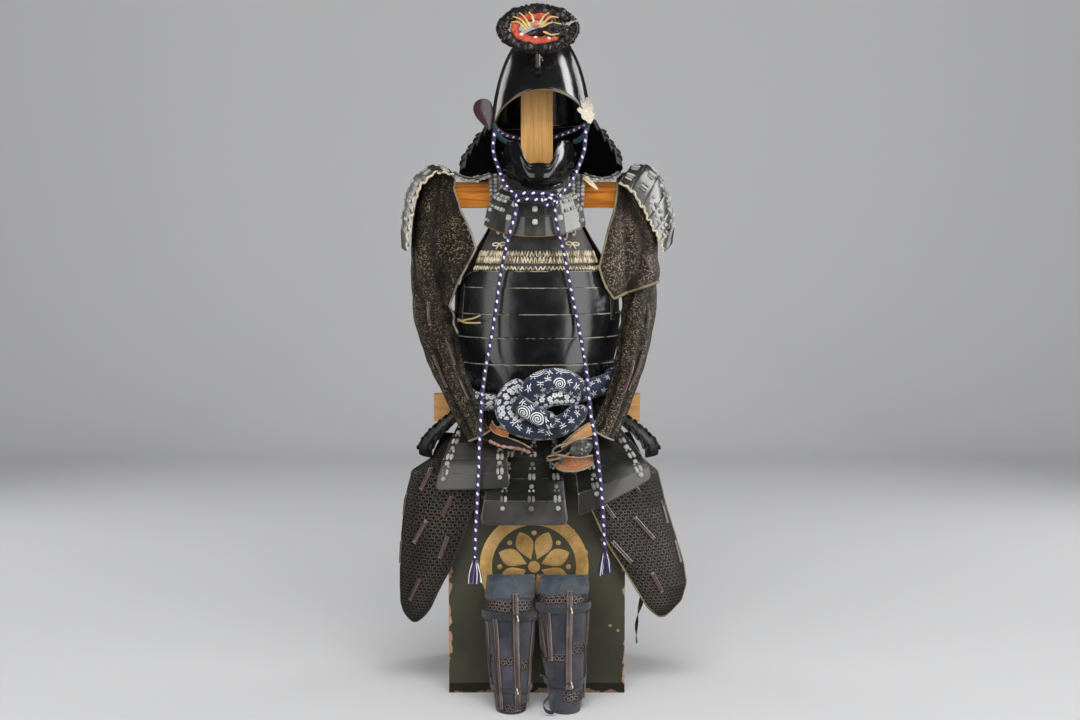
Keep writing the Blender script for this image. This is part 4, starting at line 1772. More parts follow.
@dataclass
class ShinGuards:
    """The shin guards: quilted indigo cloth with long splints, bands of mail and two straps each."""

    height: float = 279
    reach: float = 96
    # each section from the foot up: height, half width, depth, how far forward and how far aside
    table: tuple[tuple[float, ...], ...] = (
        (0, 33, 46, 336, 1), (26, 38, 50, 332, 1), (62, 42, 54, 318, 0), (130, 53, 60, 292, -2),
        (200, 57, 62, 266, -4), (232, 56, 60, 254, -3), (279, 51, 55, 240, 0))
    # each splint: its x and z at the top and at the foot, from the guard's own middle, and its width
    splints: dict[str, tuple[tuple[float, ...], ...]] = field(default_factory=lambda: {
        "left": ((-34, 186, -20, 10, 13), (9, 240, 16, 8, 14.5), (-51, 176, -40, 40, 8),
                 (47, 188, 35, 20, 7)),
        "right": ((-36, 198, -30, 104, 13), (11, 246, 8, 50, 14.5), (49, 200, 40, 24, 7),
                  (-52, 190, -38, 110, 7))})
    # each band of mail: its lower and upper height, and its ends as shares of the way round
    bands: dict[str, tuple[tuple[float, ...], ...]] = field(default_factory=lambda: {
        "left": ((202, 226, 0.02, 0.98), (97, 114, 0.30, 0.58), (86, 104, 0.66, 0.98),
                 (100, 114, 0.02, 0.24), (3, 20, 0.33, 0.84)),
        "right": ((218, 240, 0.02, 0.98), (104, 120, 0.30, 0.52), (117, 135, 0.60, 0.98),
                  (106, 120, 0.02, 0.22), (26, 44, 0.46, 0.97))})
    straps: dict[str, tuple[float, float]] = field(default_factory=lambda: {"left": (191, 48),
                                                                            "right": (207, 60)})

    def surface(self, x: float, seed: int, lift: float = 0.0) -> Surface:
        """Returns a guard's outer face, of a half width and a depth at each height, wrinkled."""
        def face(u: Array, v: Array) -> Array:
            """Returns the guard's points: u round it and v up it, its top edge lower at the sides."""
            z = mix(0.0, self.height, v)
            half, depth, front, shift = row_at(self.table, z)
            turn = np.radians(mix(-self.reach, self.reach, u))
            padded = smooth((v - 0.78) * 9)
            puff = (1.5 * noise(u * 5, v * 7, seed) + (1.8 * noise(u * 7, v * 15, seed + 3) + 1.3
                                                       * noise(u * 17, v * 29, seed + 5)) * padded
                    + 2.0 * padded * (1 - smooth((v - 0.95) * 20)))
            tuck = -1.7 * np.exp(-(((v - 0.84) / 0.012) ** 2)) - 1.6 * np.exp(-(((v - 0.962) / 0.012) ** 2))
            out, back = lift + puff + tuck - 1.2, depth * (1 - np.cos(turn)) * 0.9
            fray = 1.6 * noise(u * 46, v * 0, seed) * smooth((v - 0.97) * 40)
            return np.stack([x + shift + (half + out) * np.sin(turn), -front + back - out * np.cos(turn),
                             z - 0.22 * back * smooth((v - 0.7) * 4) + fray], -1)
        return face

    def at(self, x: Array, z: Array) -> tuple[Array, Array]:
        """Returns u and v of a place x from the guard's middle at height z."""
        half, _, _, shift = row_at(self.table, z)
        turn = np.degrees(np.arcsin(np.clip((x - shift) / half, -0.99, 0.99)))
        return (turn + self.reach) / (2 * self.reach), z / self.height

    def build(self) -> None:
        """Builds each guard's cloth, top band, mail bands, splints, straps and knots."""
        for label, x, seed in (("left", -55.0, 5), ("right", 60.0, 8)):
            face = self.surface(x, seed)
            cloth = put(f"shin_cloth_{label}", grid_patch(sampled(face, 66, 86)), SLATE, "indigo_cloth",
                        (f"shin_guard_{label}",), 3.2, 1.2)
            over = self.surface(x, seed, 0.8)
            u, v = even_grid(104, 28)
            top = put(f"shin_top_{label}", grid_patch(over(u, mix(0.83, 0.982, v))), INDIGO,
                      "indigo_cloth", (), *CLOTH_WALL)
            u, v = even_grid(104, 6)
            hem = put(f"shin_hem_{label}", grid_patch(self.surface(x, seed, 1.2)(u, mix(0.974, 1.0, v))),
                      TEAL_EDGE, "indigo_cloth", (), *CLOTH_WALL)
            mails = []
            for low, high, start, end in self.bands[label]:
                u, v = even_grid(int(110 * (end - start)) - 1, 7)
                mails.append(grid_patch(over(mix(start, end, u), mix(low, high, v) / self.height + 0.004
                                             * np.sin(u * 21 + low))))
            mail = put(f"shin_mail_{label}", joined(mails), SHIN_MAIL, "mail_cloth", (), 1.2, 0.4)
            bars = []
            for x0, z0, x1, z1, wide in self.splints[label]:
                t = np.linspace(0, 1, 40)
                path, frames = frames_on(self.surface(x, seed, 1.6),
                                         *self.at(mix(x0, x1, t), mix(z0, z1, t)), (0, -1, 0))
                along = tangents(path)
                bars.append(splint(path, unit(np.cross(along, frames[..., 2])), frames[..., 2], wide, 4.2))
            put(f"shin_splints_{label}", joined(bars), SHIN_BAR, "black_lacquer")
            bands, knots = [], []
            for z, wide in zip(self.straps[label], (15, 12)):
                t = np.linspace(0.0, 1.0, 90)
                path, frames = frames_on(self.surface(x, seed, 5.0), mix(0.01, 0.99, t),
                                         (z + 1.5 * np.sin(t * 7 + seed)) / self.height, (0, -1, 0))
                frames[..., 2] = unit(frames[..., 2] * (1, 1, 0.15))
                upward = unit(np.cross(frames[..., 2], tangents(path)))
                bands.append(swept(path, upward, -unit(np.cross(np.gradient(path, axis=0), upward)),
                                   flat_bar(wide, 1.8)))
                spots = np.array([12.0, 13.6]), np.array([z + 3.0, z - 3.5])
                points, frames = frames_on(self.surface(x, seed, 7.4), *self.at(*spots), (0, -1, 0))
                knots.append(scattered(pebble(1.7, 3.8, 1.4, 0.9, 7, 5), points, frames, 1.0))
            put(f"shin_straps_{label}", joined(bands), STRAP_CLOTH, "indigo_cloth")
            put(f"shin_knots_{label}", joined(knots), CREAM_SILK, "silk_cord")
        loop = curve_through([(36, -336, 42), (24, -348, 40), (14, -350, 26), (20, -346, 12),
                              (34, -344, 8), (40, -340, 16)], 60)
        side = np.tile([[0.0, 0.0, 1.0]], (60, 1))
        along = tangents(loop)
        put("shin_strap_loop", swept(loop, side, unit(np.cross(along, side)), flat_bar(8, 1.6)),
            STRAP_CLOTH, "indigo_cloth")


# ------------------------------------------------------------ helmet, mask, throat guard
@dataclass
class Helmet:
    """The tall lacquered bowl with a pointed arch over the face."""

    x: float = 9
    half_width: float = 112
    front: float = 122
    back: float = 132
    rim: float = 1246
    arch: float = 73
    arch_half: float = 103
    top: float = 1462
    tilt: float = 0.05

    def edge(self, turn: Array) -> Array:
        """Returns the height of the bowl's edge at an angle from the front: the arch is half an ellipse."""
        inside = np.where(np.cos(turn) > 0, 1 - (self.half_width * np.sin(turn) / self.arch_half) ** 2, 0)
        return self.rim + self.arch * np.sqrt(np.clip(inside, 0, 1))

    def shell(self, turn: Array, z: Array, out: Array | float = 0.0) -> Array:
        """Returns the bowl's face at a height: half an ellipse upright, flared a little at the rim."""
        high = np.clip((z - self.rim) / (self.top - self.rim), -0.2, 1)
        share = np.where(high > 0, np.sqrt(np.clip(1 - high ** 2, 0, 1))
                         * (1 - 0.028 * np.sin(math.pi * high)), 1 - 0.14 * high)
        depth = np.where(np.cos(turn) > 0, self.front, self.back)
        aside = (self.half_width + out) * share * np.sin(turn)
        return np.stack([self.x + aside, -(depth + out) * share * np.cos(turn),
                         z + out * np.clip(high, 0, 1) + self.tilt * aside], -1)

    def bowl(self) -> Patch:
        """Makes the bowl, its rows evenly spaced by the angle of the upright ellipse."""
        turn, v = np.meshgrid(np.linspace(0, 2 * math.pi, 120, endpoint=False), np.linspace(0, 1, 48)[:-1])
        low = np.arcsin(np.clip((self.edge(turn) - self.rim) / (self.top - self.rim), 0, 1))
        z = self.rim + (self.top - self.rim) * np.sin(mix(low, math.pi / 2, v))
        return grid_patch(self.shell(turn, z), ring=True, poles=(False, True))

    def arch_line(self, out: float, drop: float, count: int = 120, reach: float = 66.0) -> Array:
        """Returns points along the arch's edge, `out` beyond it and `drop` below it."""
        turn = np.radians(np.linspace(-reach, reach, count))
        return self.shell(turn, self.edge(turn) - drop, out)

    def build(self) -> None:
        """Builds the bowl, its gilt edge, the seam near the top and the crest's fitting."""
        put("helmet_shell", self.bowl(), GLOSS, "black_lacquer", ("helmet_bowl",), 2.6, 0.0)
        put("helmet_arch_rim", tube(self.arch_line(-0.6, 0.4), 1.9, 9, side=(0, 0, 1), ends=1), WORN_RIM,
            "black_lacquer")
        turn = np.linspace(0, 2 * math.pi, 144, endpoint=False)
        seam = self.shell(turn, np.full(144, 1418.0), 0.2)
        lid = [tube(seam[np.arange(-46, 47)], 0.8, 6, side=(0, 0, 1), ends=1)]
        rest = np.linspace(-0.42, 0.42, 40)
        lid.append(tube(self.shell(rest, 1402 - 2 * np.cos(rest * 4), 0.6), 1.2, 6, side=(0, 0, 1), ends=1))
        put("helmet_seam", joined(lid), GLOSS, "black_lacquer")
        upended = np.array([[1, 0, 0], [0, 0, -1], [0, 1, 0]])
        at = self.shell(np.array([-0.03]), np.array([1388.0]), 1.5)
        fitting = [scattered(pebble(7, 4, 3.4, 0.6, 10, 6), at, upended)]
        for dx in (-5.5, 5.5):
            spot = self.shell(np.array([-0.03]), np.array([1386.0]), 2) + (dx, 0, 0)
            fitting.append(tube(curve_through([spot[0], spot[0] + (0, -4, -4), spot[0] + (0, -2, -10)],
                                              12), 1.6, 7, ends=1))
        put("helmet_crest_fitting", joined(fitting), GLOSS, "black_lacquer")
        straps = []
        for side in (-1, 1):
            line = curve_through([(self.x + side * 104, -58, 1250), (self.x + side * 100, -52, 1232),
                                  (self.x + side * 88, -40, 1216), (self.x + side * 72, -26, 1208)], 40)
            straps.append(tube(line, 5.5, 8, side=(0, 1, 0), flat=0.35, ends=1, tone=0.5))
        put("helmet_lining_straps", joined(straps), TEAL, "silk_cord")


@dataclass
class NeckGuard:
    """Four lames laced below the helmet's rim, and the two turned-back wings beside the brow."""

    # each lame: half widths at its top and hem, heights of its top and hem, and its drop to the back
    lames: tuple[tuple[float, ...], ...] = ((123, 139, 1256, 1229, 6), (144, 156, 1236, 1212, 26),
                                            (161, 172, 1220, 1194, 40), (177, 184, 1204, 1172, 54))
    helmet: Helmet = field(default_factory=Helmet)
    pairs: int = 27

    def surface(self, i: int, lift: float = 0.0) -> Surface:
        """Returns a lame's face, round the nape from ear to ear."""
        top_half, hem_half, top, hem, drop = self.lames[i]
        above = self.lames[i - 1][4] if i else 0

        def face(u: Array, v: Array) -> Array:
            """Returns the lame's points, v from its hem to its top, which stays behind the lame above."""
            degrees = np.radians(mix(66, 294, u))
            half = mix(hem_half, top_half, v) + lift
            back = (1 - np.cos(degrees)) / 2
            lean = self.helmet.tilt * half * np.sin(degrees) * 0.6
            z = mix(hem, top, v) - mix(drop, above, v) * back + lean
            return np.stack([self.helmet.x + half * np.sin(degrees),
                             8 - (half + 6) * np.cos(degrees), z], -1)
        return face

    def lacing(self) -> Patch:
        """Makes the dark cords that hang each lame from the one above, in pairs, and the knots at the hem."""
        copies, rng = [], np.random.default_rng(21)
        for i in range(1, len(self.lames)):
            places = np.linspace(0.025, 0.975, self.pairs)
            u = np.concatenate([places - 0.006, places + 0.006])
            upper = self.surface(i - 1, 0.5)(u, np.full_like(u, 0.22))
            lower = self.surface(i, 1.6)(u, np.full_like(u, 0.86))
            t = np.linspace(0, 1, 7)[:, None]
            for a, b in zip(upper, lower):
                copies.append(tube(mix(a, b, t), 1.9, 6, side=(0.7, 0.7, 0.1), tone=rng.uniform(0.2, 1.0)))
            points, frames = frames_on(self.surface(i, 1.3), u, np.full_like(u, 0.55), (0, 0.2, 1))
            copies.append(scattered(pebble(2.4, 4.2, 2.0, 0.8, 7, 5), points, frames,
                                    rng.uniform(0.2, 1, len(u))))
        return joined(copies)

    def wing(self, x: float, y: float, z: float, width: float, height: float, lean: float, turn: float,
             frayed: float) -> Patch:
        """Makes a drop-shaped wing: a dished face to the front and a flat back.

        Args:
            x: its foot's place across.
            y: its foot's place from front to back.
            z: its foot's height.
            width: its greatest width.
            height: its height.
            lean: how far it leans aside, in degrees.
            turn: how far it turns about the upright, in degrees.
            frayed: how ragged its outline is.

        Returns:
            The closed patch.
        """
        s = np.linspace(0, 2 * math.pi, 72, endpoint=False)
        up = (1 - np.cos(s)) / 2
        round_ = np.sin(s) * (0.18 + 0.82 * up ** 0.8) * 0.5 * (1 + frayed * noise(s * 5, s * 0, 6))
        rows = []
        for share, depth in ((0.03, -1.2), (0.5, -1.6), (0.85, -3.2), (0.97, -4.2), (1.0, -3.0),
                             (1.0, -0.4), (0.9, 0.0), (0.03, 0.0)):
            rows.append(np.stack([round_ * width * share, np.full(72, 4 + depth if depth < 0 else 4.0),
                                  height * (0.55 + (up * (1 + frayed * 0.5 * noise(s * 6, s * 0, 9))
                                                    - 0.55) * share)], -1))
        grid = np.array(rows) - (0, 4, 0)
        a, b = math.radians(-lean), math.radians(turn)
        lean_m = np.array([[math.cos(a), 0, math.sin(a)], [0, 1, 0], [-math.sin(a), 0, math.cos(a)]])
        turn_m = np.array([[math.cos(b), -math.sin(b), 0], [math.sin(b), math.cos(b), 0], [0, 0, 1]])
        return grid_patch(grid @ lean_m.T @ turn_m.T + (x, y, z), ring=True, poles=(True, True))

    def build(self) -> None:
        """Builds the lames, their lacing and the wings."""
        for i in range(len(self.lames)):
            put(f"neck_guard_{i + 1}", grid_patch(sampled(self.surface(i), 110, 8)), NECK, "black_lacquer",
                (f"neck_lame_{i + 1}",), *LAME_WALL)
        put("neck_lacing", self.lacing(), BLACK_SILK, "silk_cord")
        put("wing_left", self.wing(-103, -60, 1233, 60, 72, 18, -12, 0.0), WING_RED, "dark_leather",
            ("helmet_wing_left",), sharp=60)
        put("wing_right", self.wing(118, -62, 1247, 54, 52, 16, 10, 0.40), PALE_LEATHER, "cream_leather",
            ("helmet_wing_right",), sharp=60)


@dataclass
class Crest:
    """The carved crest: a coiled ring with studs, a ball, gilt sprays and beads, on a horn."""

    x: float = 3
    y: float = -126
    z: float = 1447
    half_width: float = 76
    half_height: float = 39
    body: float = 15

    def at(self, degrees: Array, share: Array | float = 1.0, forward: Array | float = 0.0) -> Array:
        """Returns a place on the crest: an angle, a share of its size and how far forward."""
        turn = np.radians(degrees)
        x = self.x + self.half_width * share * np.cos(turn)
        z = self.z + self.half_height * share * np.sin(turn)
        return np.stack(np.broadcast_arrays(x, self.y - forward, z), -1).astype(float)

    def build(self) -> None:
        """Builds the ring and studs, the coral coil, the ball, the sprays, patches and beads."""
        rng = np.random.default_rng(17)
        run = np.linspace(24, 378, 180)
        radius = 13.2 + 1.6 * np.sin(np.radians(run * 9)) + 0.9 * np.sin(np.radians(run * 23))
        ring = [tube(self.at(run, 1.0, 3 * np.sin(np.radians(run / 2))), radius, 18, side=(0, 1, 0),
                     flat=0.85, ends=1.0)]
        for spread, count, size in ((-1.0, 62, 3.3), (-0.45, 50, 2.9), (0.15, 54, 2.6)):
            spots = np.linspace(26, 376, count)
            base = self.at(spots, 1.0)
            outward = unit(self.at(spots, 1.2) - base)
            forward = np.array([0, -1, 0]) * 12.5 * math.sin(-spread + 0.25)
            push = outward * 13.0 * math.cos(spread) * 0.98 + forward
            frames = np.stack([np.cross(outward, [[0, -1, 0]] * count), outward,
                               np.tile([[0.0, -1, 0]], (count, 1))], -1)
            ring.append(scattered(pebble(size, size * 1.15, size * 0.8, 0.9, 7, 5), base + push, frames,
                                  0.5, rng.uniform(0.75, 1.2, count)))
        put("crest_ring", joined(ring), CREST_BLACK, "carved_crest", ("crest_coil",))
        coil = np.linspace(48, 342, 90)
        thick = 9.2 * ends_rounded(90, 0.12) * (1 + 0.12 * np.sin(np.radians(coil * 14)))
        inner = [tube(self.at(coil, 0.66, 7), np.maximum(thick, 1.2), 16, side=(0, 1, 0), flat=0.8)]
        small = np.linspace(200, 470, 50)
        inner.append(tube(self.at(8, 0.30, 9) + 10 * np.stack([np.cos(np.radians(small)) * 1.3, 0 * small,
                                                               np.sin(np.radians(small))], -1),
                          3.6 * ends_rounded(50, 0.2) + 0.4, 10, side=(0, 1, 0)))
        put("crest_coral_coil", joined(inner), CORAL, "carved_crest", sharp=60)
        ball = self.at(np.array([112.0]), 0.20, 13)
        put("crest_ball", lump(pebble(8, 8, 7, 1, 18, 12), ball), CREST_ROSE, "carved_crest")
        sprays = []
        for start, end, lift in (((-26, -4), (-58, 12), 8), ((-22, 0), (-54, 24), 6),
                                 ((-18, 3), (-40, 32), 5), ((8, 6), (44, 22), 9),
                                 ((6, 2), (50, 8), 6), ((2, 8), (24, 33), 5), ((-8, 10), (-20, 34), 4),
                                 ((10, -6), (46, -12), -5)):
            middle = ((start[0] + end[0]) / 2, (start[1] + end[1]) / 2 + lift)
            line = curve_through([(self.x + px, self.y - 14 - k * 2.5, self.z + pz) for k, (px, pz) in
                                  enumerate((start, middle, end))], 26)
            sprays.append(tube(line, np.linspace(3.3, 1.2, 26), 7, side=(0, 1, 0)))
        put("crest_gilt_sprays", joined(sprays), CREST_GOLD, "carved_crest")
        white = [lump(pebble(6, 4.4, 4, 0.8, 10, 7), self.at(np.array([a]), share, 11), 0.5, size)
                 for a, share, size in ((152, 0.42, 1.0), (214, 0.58, 0.9), (262, 0.52, 0.8),
                                        (300, 0.62, 0.85), (34, 0.60, 0.8))]
        put("crest_white_patches", joined(white), CREST_WHITE, "carved_crest")
        count = 130
        turn, out = rng.uniform(0, 2 * math.pi, count), np.sqrt(rng.uniform(0, 1, count))
        spots = np.stack([self.x + 37 + 27 * out * np.cos(turn), self.y - 12 - 9 * (1 - out),
                          self.z - 1 + 19 * out * np.sin(turn)], -1)
        cluster = [scattered(pebble(3.6, 3.2, 3.2, 1, 8, 6), spots, np.tile(np.eye(3), (count, 1, 1)), 0.5,
                             rng.uniform(0.6, 1.25, count))]
        body = curve_through([(self.x + 62, self.y - 4, self.z + 2), (self.x + 40, self.y - 9, self.z - 1),
                              (self.x + 16, self.y - 10, self.z - 3), (self.x - 6, self.y - 8, self.z - 9),
                              (self.x - 26, self.y - 5, self.z - 12)], 40)
        cluster.append(tube(body, 8.0 * ends_rounded(40, 0.4), 14, side=(0, 1, 0)))
        put("crest_cluster", joined(cluster), CREST_BLACK, "carved_crest", ("crest_head",))
        horn = curve_through([(self.x, -112, 1356), (self.x, -126, 1366), (self.x, self.y - 1, 1392)], 20)
        put("crest_stem", tube(horn, 5, 12, side=(1, 0, 0)), GLOSS, "black_lacquer", ("crest_horn",))


@dataclass
class FaceMask:
    """The half mask of a plain kind: a chin cup, a lower lip's ridge and two cheek wings."""

    x: float = 5
    y: float = -20
    half_width: float = 85
    depth: float = 108
    chin: float = 1106
    reach: float = 94

    def surface(self, u: Array, v: Array) -> Array:
        """Returns the mask: half a tube, its chin forward and drawn in below, with a ridge."""
        degrees = mix(-self.reach, self.reach, u)
        aside = np.abs(degrees) / self.reach
        bottom = self.chin + 42 * aside ** 2
        cheek = np.exp(-(((np.abs(degrees) - 44) / 21) ** 4))
        top = 1158 + 50 * cheek + 30 * smooth((aside - 0.5)
                                              * 2) + 1.5 * np.cos(np.radians(degrees * 9)) * (aside < 0.3)
        tuck = 1 - 0.2 * (1 - v) ** 3
        front = np.exp(-(degrees / 24) ** 2)
        swell = front * (5.0 * np.exp(-(((v - 0.42) / 0.2) ** 2)) - 4.5
                         * np.exp(-(((v - 0.78) / 0.1) ** 2)) + 3.0 * (v > 0.97))
        turn = np.radians(degrees)
        half, depth = self.half_width * tuck + swell - 1, self.depth * tuck + swell - 1
        return np.stack([self.x + half * np.sin(turn), self.y - depth * np.cos(turn),
                         mix(bottom, top, v)], -1)

    def build(self) -> None:
        """Builds the shell, its rolled edges, the cheek hooks and the drain under the chin."""
        put("mask_shell", grid_patch(sampled(self.surface, 104, 38)), GLOSS, "black_lacquer",
            ("face_mask",), 2.2, 0.8)
        rims = [tube(edge_of(self.surface, (0.01, 0.99), v, 140), 1.7, 8, side=(0, 0, 1), ends=1)
                for v in (0.005, 0.995)]
        hooks = []
        for u in (0.17, 0.83):
            points, frames = frames_on(self.surface, np.array([u]), np.array([0.35]), (0, -1, 0))
            hooks.append(scattered(pebble(3, 3, 7, 0.9, 10, 8), points + frames[0, :, 2] * 4, frames, 0.5))
        put("mask_rims", joined(rims + hooks), GLOSS, "black_lacquer")


@dataclass
class ThroatGuard:
    """Three curved lames under the chin, with worn hems and square cream knots."""

    reach: float = 60
    # each lame: half widths, depths and heights at its top and hem, and its rise to the sides
    lames: tuple[tuple[float, ...], ...] = ((84, 102, 78, 102, 1098, 1068, 34),
                                            (105, 118, 105, 116, 1074, 1038, 42),
                                            (121, 130, 119, 127, 1045, 1001, 52))

    def surface(self, i: int, lift: float = 0.0) -> Surface:
        """Returns a lame's face, from side to side under the chin, with its facets a little flattened."""
        top_half, hem_half, top_depth, hem_depth, top, hem, rise = self.lames[i]

        def face(u: Array, v: Array) -> Array:
            """Returns the lame's points, v from its hem to its top."""
            degrees = mix(-self.reach, self.reach, u)
            facet = 1.5 * (np.abs(np.mod(degrees / 20 + 0.5, 1.0) - 0.5) * 2) ** 2 - 1.0
            half, depth = mix(hem_half, top_half, v) + lift + facet, mix(hem_depth, top_depth,
                                                                         v) + lift + facet
            turn = np.radians(degrees)
            return np.stack([half * np.sin(turn) - 4, -38 - depth * np.cos(turn),
                             mix(hem, top, v) + rise * (1 - np.cos(turn))], -1)
        return face

    def lining(self, u: Array, v: Array) -> Array:
        """Returns the leather collar that stands inside the first lame, under the chin."""
        turn = np.radians(mix(-66, 66, u))
        return np.stack([mix(80, 76, v) * np.sin(turn) - 2, -38 - mix(62, 58, v) * np.cos(turn),
                         mix(1072, 1114, v) + 36 * (1 - np.cos(turn)) * v], -1)

    def build(self) -> None:
        """Builds the lames, their lining, the leather along the last hem and the knots."""
        rng, knots = np.random.default_rng(31), []
        for i in range(3):
            put(f"throat_plate_{i + 1}", grid_patch(sampled(self.surface(i), 96, 10)), COLLAR,
                "black_lacquer", (f"throat_lame_{i + 1}",), *LAME_WALL)
            for angle in (-55, -46, -38, 38, 46, 54) if i < 2 else (-54, 53):
                spots = np.array([angle - 1.7, angle + 1.7]) / (2 * self.reach) + 0.5
                for v, tall in ((0.86, 4.2), (0.32, 4.6)):
                    points, frames = frames_on(self.surface(i, 1.8), spots, np.full(2, v), (0, -1, 0))
                    shape = pebble(3.4, tall, 2.8, 0.7, 8, 6)
                    knots.append(scattered(shape, points, frames, rng.uniform(0.25, 1.0, 2),
                                           rng.uniform(0.85, 1.1, 2)))
        for i, angle, v in ((2, -27, 0.80), (2, 0, 0.72), (2, 26, 0.80), (1, 0, 0.62), (1, -24, 0.80),
                            (1, 24, 0.80)):
            big, frames = frames_on(self.surface(i, 2.4), np.array([angle / (2 * self.reach) + 0.5]),
                                    np.array([v]), (0, -1, 0))
            knots.append(scattered(pebble(6.2, 6.4, 3.6, 0.6, 10, 7), big, frames, 0.8))
        patch, frames = frames_on(self.surface(0, 2.0), np.array([0.80]), np.array([0.55]), (0, -1, 0))
        knots.append(scattered(pebble(8, 6, 2.6, 0.6, 10, 7), patch, frames, 1.0))
        put("throat_knots", joined(knots), GUARD_SILK, "silk_cord")
        put("throat_lining", grid_patch(sampled(self.lining, 60, 10)), HAND_LEATHER, "dark_leather",
            (), 1.6, 0.4)
        hems = [tube(edge_of(self.surface(i, 0.4), (0.005, 0.995), 0.01, 120), 1.5, 7, side=(0, 0, 1),
                     ends=1) for i in range(3)]
        put("throat_hems", joined(hems), WORN_RIM, "black_lacquer")


# ------------------------------------------------------------ shoulder guards and arms
@dataclass
class ShoulderGuards:
    """Six lames over each shoulder, laced with cords and round knots, their front edges piped."""

    lames: int = 6
    lines: dict[str, tuple[tuple[float, float], ...]] = field(default_factory=lambda: {
        "left": ((196, 1146), (230, 1156), (264, 1138), (288, 1098), (299, 1040), (304, 974)),
        "right": ((210, 1153), (240, 1158), (272, 1132), (292, 1090), (304, 1040), (304, 984))})
    widths: dict[str, float] = field(default_factory=lambda: {"left": 150, "right": 120})
    # down each guard: how far its front edge lies across and up from its middle
    fronts: dict[str, tuple[tuple[float, ...], ...]] = field(default_factory=lambda: {
        "left": ((0, 16, -16), (0.3, 22, -16), (0.7, 24, -10), (1, 18, -8)),
        "right": ((0, -30, -40), (0.25, -42, -66), (0.5, -46, -62), (0.75, -40, -42), (1, -24, -22))})

    def surface(self, label: str, lift: float = 0.0) -> Callable[[Array, Array, Array | float], Array]:
        """Returns a guard's face: u from back to front, share t down it, and out from it."""
        side = -1 if label == "left" else 1
        line = curve_through([(side * x, 0, z) for x, z in self.lines[label]], 200)
        tangent, ticks = tangents(line), np.linspace(0, 1, 200)

        def face(u: Array, t: Array, out: Array | float) -> Array:
            """Returns the guard's points down the line, drooping to the front and bowed behind."""
            at = [np.interp(t, ticks, line[:, k]) for k in (0, 2)]
            along = [np.interp(t, ticks, tangent[:, k]) for k in (0, 2)]
            to_x, to_z = soft_rows(self.fronts[label], t)
            forward = u - 0.5
            droop = np.clip(2 * forward, 0, 1) ** 1.6
            rise = out + lift - 8 * np.clip(-2 * forward, 0, 1) ** 2
            return np.stack([at[0] - side * along[1] * rise + droop * to_x,
                             -12 - forward * self.widths[label] + 0 * t, at[1] + np.abs(along[0]) * rise
                             + droop * to_z], -1)
        return face

    def lame(self, label: str, i: int) -> Patch:
        """Makes one lame; the last has rounded lower corners."""
        face, last = self.surface(label), i == self.lames - 1
        u, v = even_grid(40, 8)
        near = np.clip((np.abs(2 * u - 1) - 0.84) / 0.16, 0, 1)
        cut = (1 - np.sqrt(np.clip(1 - near ** 2, 0, 1))) * (0.35 if last else 0.0)
        start = max(0.0, i - 0.14)
        t = mix(start, i + 1 - cut, v) / self.lames
        return grid_patch(face(u, t, STEP * np.minimum(1, 1 - (t * self.lames - i))),
                          toward=(-1 if label == "left" else 1, 0, 0.4))

    def lacing(self, label: str) -> Patch:
        """Makes the lacing: long cords in threes on the first rows, then pairs of round knots."""
        face, toward = self.surface(label), (-1 if label == "left" else 1, -0.2, 0.4)
        rng, copies = np.random.default_rng(41), []
        long, round_, upright = pebble(2.3, 9.5, 2.3, 0.6, 7, 7), pebble(4.7, 4.9, 3.6, 0.9, 8,
                                                                         6), pebble(3.5, 7.4,
                                                                                    3.2, 0.75, 7, 6)
        for i in range(self.lames):
            groups = np.linspace(0.12, 0.86, 4 if i > 1 else 5)
            if i == self.lames - 1:
                groups = groups[:0]
            for middle in groups:
                if i < 2:
                    rows = [(long, np.array([-0.034, 0.0, 0.034]), 0.45)]
                else:
                    rows = [(upright, np.array([-0.028, 0.028]), 0.86),
                            (round_, np.array([-0.032, 0.032]), 0.30)]
                for shape, shifts, down in rows:
                    t = np.full(len(shifts), (i + down) / self.lames)
                    points, frames = frames_on(lambda a, b: face(a, b, STEP * (1 - down) + 1.4),
                                               middle + shifts, t, toward)
                    copies.append(scattered(shape, points, frames, rng.uniform(0.2, 1.0, len(t)),
                                            rng.uniform(0.9, 1.1, len(t))))
        return joined(copies)

    def build(self) -> None:
        """Builds each guard's lames, lacing, piped front edge and inner leather."""
        for label, outward in (("left", -1), ("right", 1)):
            face = self.surface(label)
            put(f"guard_{label}_lames", joined([self.lame(label, i) for i in range(self.lames)]), SODE,
                "black_lacquer", (f"shoulder_guard_{label}",), *LAME_WALL)
            put(f"guard_{label}_lacing", self.lacing(label), GUARD_SILK, "silk_cord")
            t = np.linspace(0.01, 0.99, 220)
            saw = STEP * (1 - np.mod(t * self.lames, 1.0)) - 0.6 + 1.5 * np.sin(t * self.lames * 2
                                                                                * math.pi * 2)
            edges = [piping(face(np.full(220, u), t, saw), 2.3, (0, 1, 0), 0.3) for u in (0.985, 0.015)]
            put(f"guard_{label}_piping", joined(edges), CREAM_SILK, "silk_cord")
            self.shoulder_band(label, outward)

